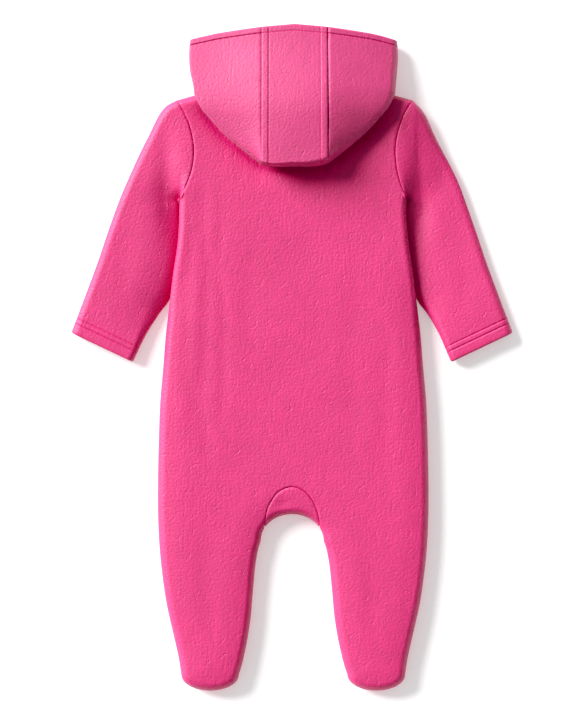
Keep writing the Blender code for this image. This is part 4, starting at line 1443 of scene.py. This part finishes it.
class RomperPiece:
    """What the operators that make cloth share."""

    bl_options = {"REGISTER"}
    painted_lighter_copy = False  # the hood gets a paler copy of the knit: painted light and sheen for the bright, raised hood

    def sewn(self, context, node, cut, patches, reliefs, lines=(), looks_up=True, **how):
        """The cloth in place of a node, with rows of stitches along its lines."""
        settings = context.scene.romper_knit
        # The hood is drawn in the paler copy of the knit: painted light and sheen.
        name = "double_knit_nap" if self.painted_lighter_copy else "double_knit"
        colour = settings.nap if self.painted_lighter_copy else settings.colour
        knit = surface_named(name, knit_surface, name, colour, settings)
        thread = surface_named("sewing_thread", thread_surface, settings)
        piece = cloth(f"cloth_{node}", patches, looks_up, reliefs, settings.wall, knit, node=node, **how)
        rows = [stitched(f"stitches_{node}", piece, lines, settings.stitch, thread)] if lines else []
        declared(cut)


class ROMPER_OT_body(RomperPiece, bpy.types.Operator):
    """Make the back, both fronts and the crotch gusset."""

    bl_idname = "romper.body"
    bl_label = "Body"

    # The seams, as sides of the patches, which are numbered from the upper one down to the foot: the
    # armhole, the shoulder and gusset seams, and the side seams with those of the legs and the feet.
    armhole_side = ((0, "right"),)
    joined = ((0, "top"), (2, "left"))
    closed = ((1, "right"), (2, "right"), (3, "left"), (3, "right"), (4, "left"), (4, "right"), (4, "top"))

    def back(self, context, pitch):
        left, right = halves = [
            body_patches(hand, body_top, np.zeros_like, BACK_NECK_DROP, 0.0, pitch) for hand, _ in SIDES
        ]
        lines = [left[3].inset("left", SIDE_LINE_IN[0])]
        lines += [right[part].inset("right", SIDE_LINE_IN[1]) for part in (1, 2, 3)]
        armholes, joins, closed = (
            [line for half in halves for line in edges_of(half, spots)]
            for spots in (self.armhole_side, self.joined, self.closed)
        )
        reliefs = [
            beside(joins, seam(SEAM_DEPTH)), beside(above_underarm(armholes), seam(SEAM_DEPTH)),
            beside(closed, seam(SIDE_SEAM_DEPTH)), beside(lines, groove(SIDE_LINE_DEPTH)),
            troughs(BACK_TROUGHS), unevenness("back"),
        ]
        self.sewn(context, "back", "back", left + right, reliefs)

    def front(self, context, pitch, hand, name):
        def open_edge(up):
            return SEAM_GAP / 2 + (ZIP_OPEN_OUT - SEAM_GAP / 2) * smooth(*ZIP_STEP, up)

        first_turn = math.asin(SEAM_GAP / 2 / ARCH_OUT)
        half = body_patches(hand, body_bottom, open_edge, FRONT_NECK_DROP, first_turn, pitch)
        armhole_line = above_underarm(edges_of(half, self.armhole_side))
        by_zip = edges_of(half, ((1, "left"), (0, "left")))
        lines = [half[1].inset("left", ZIP_STITCH_IN, ZIP_STITCH_START), half[0].inset("left", ZIP_STITCH_IN)]
        reliefs = [
            beside(edges_of(half, self.joined) + armhole_line, seam(SEAM_DEPTH)),
            beside(edges_of(half, self.closed) + by_zip, seam(SIDE_SEAM_DEPTH)),
            troughs(FRONT_TROUGHS), unevenness("front"), beside(lines, groove(STITCH_DEPTH)),
        ]
        self.sewn(context, f"front_{name}", "front", half, reliefs, lines, False)

    def gusset(self, context):
        layers = [gusset_patches(True), gusset_patches(False)]
        edges = [patch.edge(side_name) for patch in layers for side_name in ("left", "right", "bottom")]
        reliefs = [beside(edges, seam(SEAM_DEPTH)), dimple(*CROTCH_DIMPLE), unevenness("crotch_gusset")]
        self.sewn(context, "crotch_gusset", "crotch_gusset", layers, reliefs,
                  plain=lambda points: np.ones(len(points)))

    def execute(self, context):
        pitch = context.scene.romper_knit.pitch / MM
        self.back(context, pitch)
        for hand, name in SIDES:
            self.front(context, pitch, hand, name)
        self.gusset(context)
        return {"FINISHED"}


class ROMPER_OT_sleeves(RomperPiece, bpy.types.Operator):
    """Make both sleeves, with their turned and twice-stitched cuffs."""

    bl_idname = "romper.sleeves"
    bl_label = "Sleeves"

    def execute(self, context):
        deep = CUFF_STITCH_IN[-1] - HEM_TURN
        for hand, name in SIDES:
            patches = [sleeve_patch(hand, top, context.scene.romper_knit.pitch / MM) for top in (True, False)]
            armhole_lines = above_underarm([patch.edge("bottom") for patch in patches])
            ends = [patch.edge("top") for patch in patches]
            lines = [patch.inset("top", inset - HEM_TURN) for inset in CUFF_STITCH_IN for patch in patches]
            reliefs = [
                beside(armhole_lines, seam(SEAM_DEPTH)), beside(lines, groove(STITCH_DEPTH)),
                beside(ends, band(HEM_HIGH, deep)), unevenness("sleeve", hand),
                troughs([(hand * out, *rest) for out, *rest in SLEEVE_TROUGHS]),
            ]
            self.sewn(context, f"sleeve_{name}", "sleeve", patches, reliefs, lines,
                      plain=beside(ends, band(1.0, deep)), hem_deep=deep + CUFF_HEM_PAST)
        return {"FINISHED"}


class ROMPER_OT_hood(RomperPiece, bpy.types.Operator):
    """Make the hood's two side panels and its centre gusset, with their stitched bands and hems."""

    bl_idname = "romper.hood"
    bl_label = "Hood"
    # painted light and sheen: the hood's knit is the paler copy
    painted_lighter_copy = True
    deep = BROW_STITCH_IN - HEM_TURN

    def panel(self, context, pitch, hand, name):
        patches = hood_side_patches(hand, pitch)
        top, under, flap = patches
        ends = [top.edge("top"), flap.edge("top")]
        lines = [top.inset("top", self.deep), flap.inset("top", self.deep)]
        centre = seam(HOOD_SEAM_DEPTH[int(hand > 0)], HOOD_SEAM_REACH)
        reliefs = [
            beside([top.edge("left"), under.edge("left")], centre),
            beside([under.edge("bottom"), flap.edge("bottom")], seam(SIDE_SEAM_DEPTH)),
            beside(lines, groove(STITCH_DEPTH)), beside(ends, band(HEM_HIGH, self.deep)),
            unevenness("hood_side", hand),
        ]
        self.sewn(context, f"hood_{name}", "hood_side", patches, reliefs, lines,
                  plain=beside(ends, band(1.0, self.deep)), hem_deep=BROW_HEM)

    def gusset(self, context, pitch):
        patches = hood_gusset_patches(pitch)
        top, under = patches
        edges = [patch.edge(side_name) for patch in patches for side_name in ("left", "right")]
        lines = [patch.inset(side_name, BAND_WIDE) for patch in patches for side_name in ("left", "right")]
        hem = [top.inset("top", self.deep)]
        reliefs = [
            beside(edges, seam(SEAM_DEPTH)), beside(edges, band(BAND_HIGH, BAND_WIDE)),
            beside(lines, groove(BAND_LINE_DEPTH)), beside(hem, groove(BROW_LINE_DEPTH)),
            beside([under.edge("bottom")], seam(SIDE_SEAM_DEPTH)), unevenness("hood_gusset"),
        ]
        end = beside([top.edge("top")], band(1.0, self.deep))
        bands = beside(edges, band(1.0, BAND_WIDE))
        self.sewn(context, "hood_gusset", "hood_gusset", patches, reliefs, lines + hem,
                  plain=lambda points: np.maximum(end(points), bands(points)), hem_deep=BROW_HEM)

    def execute(self, context):
        pitch = context.scene.romper_knit.pitch / MM
        for hand, name in SIDES:
            self.panel(context, pitch, hand, name)
        self.gusset(context, pitch)
        return {"FINISHED"}


def rounded(bm, edges, offset):
    bmesh.ops.bevel(bm, geom=edges, offset=offset, offset_type="OFFSET", segments=2, profile=0.5,
                    affect="EDGES", material=-1, clamp_overlap=True)


def plate(bm, low, high, offset):
    """A rounded block between two corners, in metres."""
    low, high = Vector(low), Vector(high)
    verts = bmesh.ops.create_cube(bm, size=1)["verts"]
    bmesh.ops.scale(bm, verts=verts, vec=high - low)
    bmesh.ops.translate(bm, verts=verts, vec=(low + high) / 2)
    rounded(bm, list({edge for vert in verts for edge in vert.link_edges}), offset)


class ROMPER_OT_zip(bpy.types.Operator):
    """Make the closed zip on the front: its tapes, coil, slider and pull tab."""

    bl_idname = "romper.zip"
    bl_label = "Zip"

    def tapes(self, surface):
        low, high = (in_tables(corner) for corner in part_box("zip_tape"))
        slit = in_tables(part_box("zip_chain")[1])[1]
        columns, rows = np.linspace(0, 1, 25), np.linspace(0, 1, 157)
        for hand, name in SIDES:

            def place(u, v, hand=hand):
                up = mixed(low[1], high[1], v)
                inner = mixed(SEAM_GAP / 2, TAPE_PARTED, smooth(slit - 3, slit + 2, up))
                bead = TAPE_BEAD * np.exp(-(((u * high[0] - 2) / 1.2) ** 2))
                return np.column_stack([hand * mixed(inner, high[0], u), up, low[2] - bead])

            patch = Patch(place, columns, rows, lambda points: points[..., :2])
            tape = cloth(f"zip_tape_{name}", [patch], False, [], (high[2] - low[2]) * MM, surface,
                         slot="zip_tape", node="zip_tape")
            (high[1] - low[1]) * MM

    def coil(self, pitch, surface):
        low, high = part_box("zip_chain")
        one = bmesh.new()
        bmesh.ops.create_uvsphere(one, u_segments=6, v_segments=6, radius=1)
        size = Vector(((high.x - low.x) * TURN_WIDE, pitch * TURN_LONG, (high.z - low.z) / 2))
        bmesh.ops.rotate(one, verts=one.verts, cent=(0, 0, 0), matrix=Matrix.Rotation(math.pi / 2, 3, "Y"))
        bmesh.ops.scale(one, verts=one.verts, vec=size)

        def turns():
            for number in range(2 * int((high.y - low.y) / pitch)):
                hand = 1 if number % 2 else -1
                up = low.y + pitch * (number + 1) / 2
                place = Matrix.Translation((hand * (high.x - size.x), up, (low.z + high.z) / 2))
                yield place @ Matrix.Rotation(hand * TURN_SLANT, 4, "Z")

        bm = repeated(one, turns())
        for hand, _ in SIDES:
            cord = bmesh.ops.create_cone(
                bm, cap_ends=True, segments=8, radius1=CORD_ROUND, radius2=CORD_ROUND, depth=high.y - low.y,
            )["verts"]
            place = Vector((hand * high.x * CORD_OUT, (low.y + high.y) / 2, low.z + CORD_ROUND))
            bmesh.ops.rotate(bm, verts=cord, cent=(0, 0, 0), matrix=Matrix.Rotation(math.pi / 2, 3, "X"))
            bmesh.ops.translate(bm, verts=cord, vec=place)
        finished("zip_coil", bm, surface, "zip_coil", node="zip_chain")

    def slider(self, surface):
        """Two wings with a wedge between them, and a bridge for the pull tab under them."""
        low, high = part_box("zip_slider")
        wing, offset, lower, half = 0.0010, 0.0003, 0.0022, 0.0006
        middle, far, near, sunk = (low.y + high.y) / 2, 0.0025, 0.0015, 0.0004
        bm = bmesh.new()
        plate(bm, (low.x, low.y, lower), (high.x, high.y, lower + wing), offset)
        plate(bm, (low.x, low.y, high.z - wing), (high.x, high.y, high.z), offset)
        plate(bm, (-0.0011, high.y - 0.0040, lower + sunk), (0.0011, high.y - 0.0012, high.z - sunk), offset)
        for start, end in ((middle - far, middle - near), (middle + near, middle + far)):
            plate(bm, (-half, start, 0.00012), (half, end, lower + sunk), 0.0002)
        plate(bm, (-half, middle - far, low.z), (half, middle + far, low.z + 0.0006), 0.0002)
        finished("zip_slider_body", bm, surface, "zip_metal", node="zip_slider")

    def pull(self, surface):
        """The tab: one plate with a window, whose end bar turns in the slider's bridge."""
        low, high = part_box("zip_pull")
        arm_out, arm_in, window = 0.0018, 0.00095, 0.0050
        pin = high.y - 0.00035 - 0.00025
        outs = (-arm_out, -arm_in, arm_in, arm_out)
        ups = (low.y, low.y + 0.0012, high.y - window - 0.001, high.y - window, pin, high.y)
        widths = (0.72, 1.0, 1.0, 0.75, 0.0, 0.0)  # from the arms' width (0) to the tab's (1)
        bm = bmesh.new()
        verts = bmesh.ops.create_grid(bm, x_segments=len(outs) - 1, y_segments=len(ups) - 1, size=1)["verts"]
        for number, vert in enumerate(verts):
            row, column = divmod(number, len(outs))
            out = outs[column]
            if abs(out) == arm_out:
                out = mixed(out, high.x * out / arm_out, widths[row])
            vert.co = (out, ups[row], high.z)
        bm.faces.ensure_lookup_table()
        hole = [face for face in bm.faces if abs(face.calc_center_median().x) < WELD
                and ups[3] < face.calc_center_median().y < pin]
        bmesh.ops.delete(bm, geom=hole, context="FACES")
        for vert in extruded(bm):
            vert.co.z = low.z
        bmesh.ops.recalc_face_normals(bm, faces=bm.faces)
        sharp = [edge for edge in bm.edges if len(edge.link_faces) == 2 and edge.calc_face_angle() > 1]
        rounded(bm, sharp, 0.00018)
        finished("zip_pull_tab", bm, surface, "zip_metal", body="pull", node="zip_pull")

    def execute(self, context):
        settings = context.scene.romper_zip
        self.tapes(surface_named("woven_tape", tape_surface, settings))
        self.coil(settings.tooth, surface_named("nylon_coil", coil_surface, settings))
        metal = surface_named("plated_metal", metal_surface, settings)
        self.slider(metal)
        self.pull(metal)
        return {"FINISHED"}


def graded(view):
    """Gives the picture a print's deep, saturated shadows, by a toe in each channel's curve."""
    view.use_curve_mapping = True
    for number, points in FILM_TOE.items():
        curve = view.curve_mapping.curves[number]
        for dark, shown in points:
            curve.points.new(dark, shown)
    view.curve_mapping.update()


class ROMPER_OT_stage(bpy.types.Operator):
    """Set the camera above the romper, a soft light at the upper left and a pale floor."""

    bl_idname = "romper.stage"
    bl_label = "Stage"

    def camera(self, scene, settings):
        camera = bpy.data.cameras.new("camera")
        camera.lens, camera.sensor_width, camera.clip_end = settings.lens, 36, 20
        eye = bpy.data.objects.new("camera", camera)
        away = settings.view_long * settings.lens / camera.sensor_width
        eye.location = (VIEW_CENTRE[0], VIEW_CENTRE[1], VIEW_CENTRE[2] + away)
        scene.collection.objects.link(eye)
        scene.camera = eye

    def light(self, scene, settings):
        """A wide sun from the upper left, and an even sky that shows less in reflections."""
        sun = bpy.data.lights.new("key", "SUN")
        sun.energy, sun.angle = settings.key, KEY_SOFT
        key = bpy.data.objects.new("key", sun)
        way = Vector((*KEY_WAY, -math.tan(KEY_RISE) * Vector(KEY_WAY).length))
        key.rotation_euler = way.to_track_quat("-Z", "Y").to_euler()
        key.location = -way.normalized() * 3
        scene.collection.objects.link(key)

        scene.world = bpy.data.worlds.new("even_light")
        scene.world.use_nodes = True
        nodes, links = scene.world.node_tree.nodes, scene.world.node_tree.links
        sky = nodes["Background"]
        sky.inputs["Color"].default_value = (1, 1, 1, 1)
        dimmer = nodes.new("ShaderNodeMapRange")
        dimmer.inputs["To Min"].default_value = settings.sky
        dimmer.inputs["To Max"].default_value = settings.sky * SKY_GLOSS
        links.new(nodes.new("ShaderNodeLightPath").outputs["Is Glossy Ray"], dimmer.inputs["Value"])
        links.new(dimmer.outputs["Result"], sky.inputs["Strength"])

    def paper(self, settings):
        """Matt pale paper that glows a little, lets soft light through to what lies close above it and
        can't be seen from below."""
        surface = Surface("floor", settings.floor, 0.9, specular=0.0)
        surface.feed(surface.shader.inputs, {"Emission Color": (1, 1, 1, 1), "Emission Strength": FLOOR_GLOW})
        behind = surface.node("NewGeometry", {}, {}, "Backfacing")
        soft = surface.node("LightPath", {}, {}, "Is Diffuse Ray")
        close = surface.node("LightPath", {}, {}, "Ray Length").math("LESS_THAN", UNDERSIDE_REACH)
        clear = surface.node("BsdfTransparent", {}, {})
        paper = Shade(surface, surface.shader.outputs[0])
        shown = surface.node("MixShader", {}, {0: behind.math("MAXIMUM", soft * close), 1: paper, 2: clear})
        surface.links.new(shown.socket, surface.nodes["Material Output"].inputs["Surface"])
        grainy = surface.noise(surface.place(), 14.0)
        return surface.finish(**{"Base Color": surface.shades(grainy, settings.floor, 0.997, 1.003)})

    def execute(self, context):
        scene = context.scene
        settings = scene.romper_stage
        self.camera(scene, settings)
        self.light(scene, settings)
        scene.view_settings.view_transform = "Standard"
        scene.view_settings.look = "None"
        graded(scene.view_settings)
        bm = bmesh.new()
        bmesh.ops.create_grid(bm, x_segments=8, y_segments=8, size=FLOOR_HALF)
        bmesh.ops.translate(bm, verts=bm.verts, vec=(0, 0, CAD_LOW.z - FLOOR_BELOW))
        linked("floor", bm, self.paper(settings))
        return {"FINISHED"}


class ROMPER_PT_panel(bpy.types.Panel):
    """Lists the romper's sizes, colours and pieces."""

    bl_label = "Hooded Romper"
    bl_idname = "ROMPER_PT_panel"
    bl_space_type = "VIEW_3D"
    bl_region_type = "UI"
    bl_category = "Romper"

    def draw(self, context):
        for settings in (getattr(context.scene, name) for name in SETTINGS):
            box = self.layout.box()
            for name in settings.bl_rna.properties.keys():
                if name not in ("rna_type", "name"):
                    box.prop(settings, name)
        for operator in OPERATORS:
            self.layout.operator(operator.bl_idname)


OPERATORS = (ROMPER_OT_stage, ROMPER_OT_body, ROMPER_OT_sleeves, ROMPER_OT_hood, ROMPER_OT_zip)
SETTINGS = {"romper_knit": KnitSettings, "romper_zip": ZipSettings, "romper_stage": StageSettings}
CLASSES = (*SETTINGS.values(), *OPERATORS, ROMPER_PT_panel)


def register():
    for kind in CLASSES:
        bpy.utils.register_class(kind)
    for name, kind in SETTINGS.items():
        setattr(bpy.types.Scene, name, bpy.props.PointerProperty(type=kind))


def unregister():
    for name in SETTINGS:
        delattr(bpy.types.Scene, name)
    for kind in reversed(CLASSES):
        bpy.utils.unregister_class(kind)


def main():
    register()
    bpy.ops.romper.stage()
    bpy.ops.romper.body()
    bpy.ops.romper.sleeves()
    bpy.ops.romper.hood()
    bpy.ops.romper.zip()


if __name__ == "__main__":
    main()
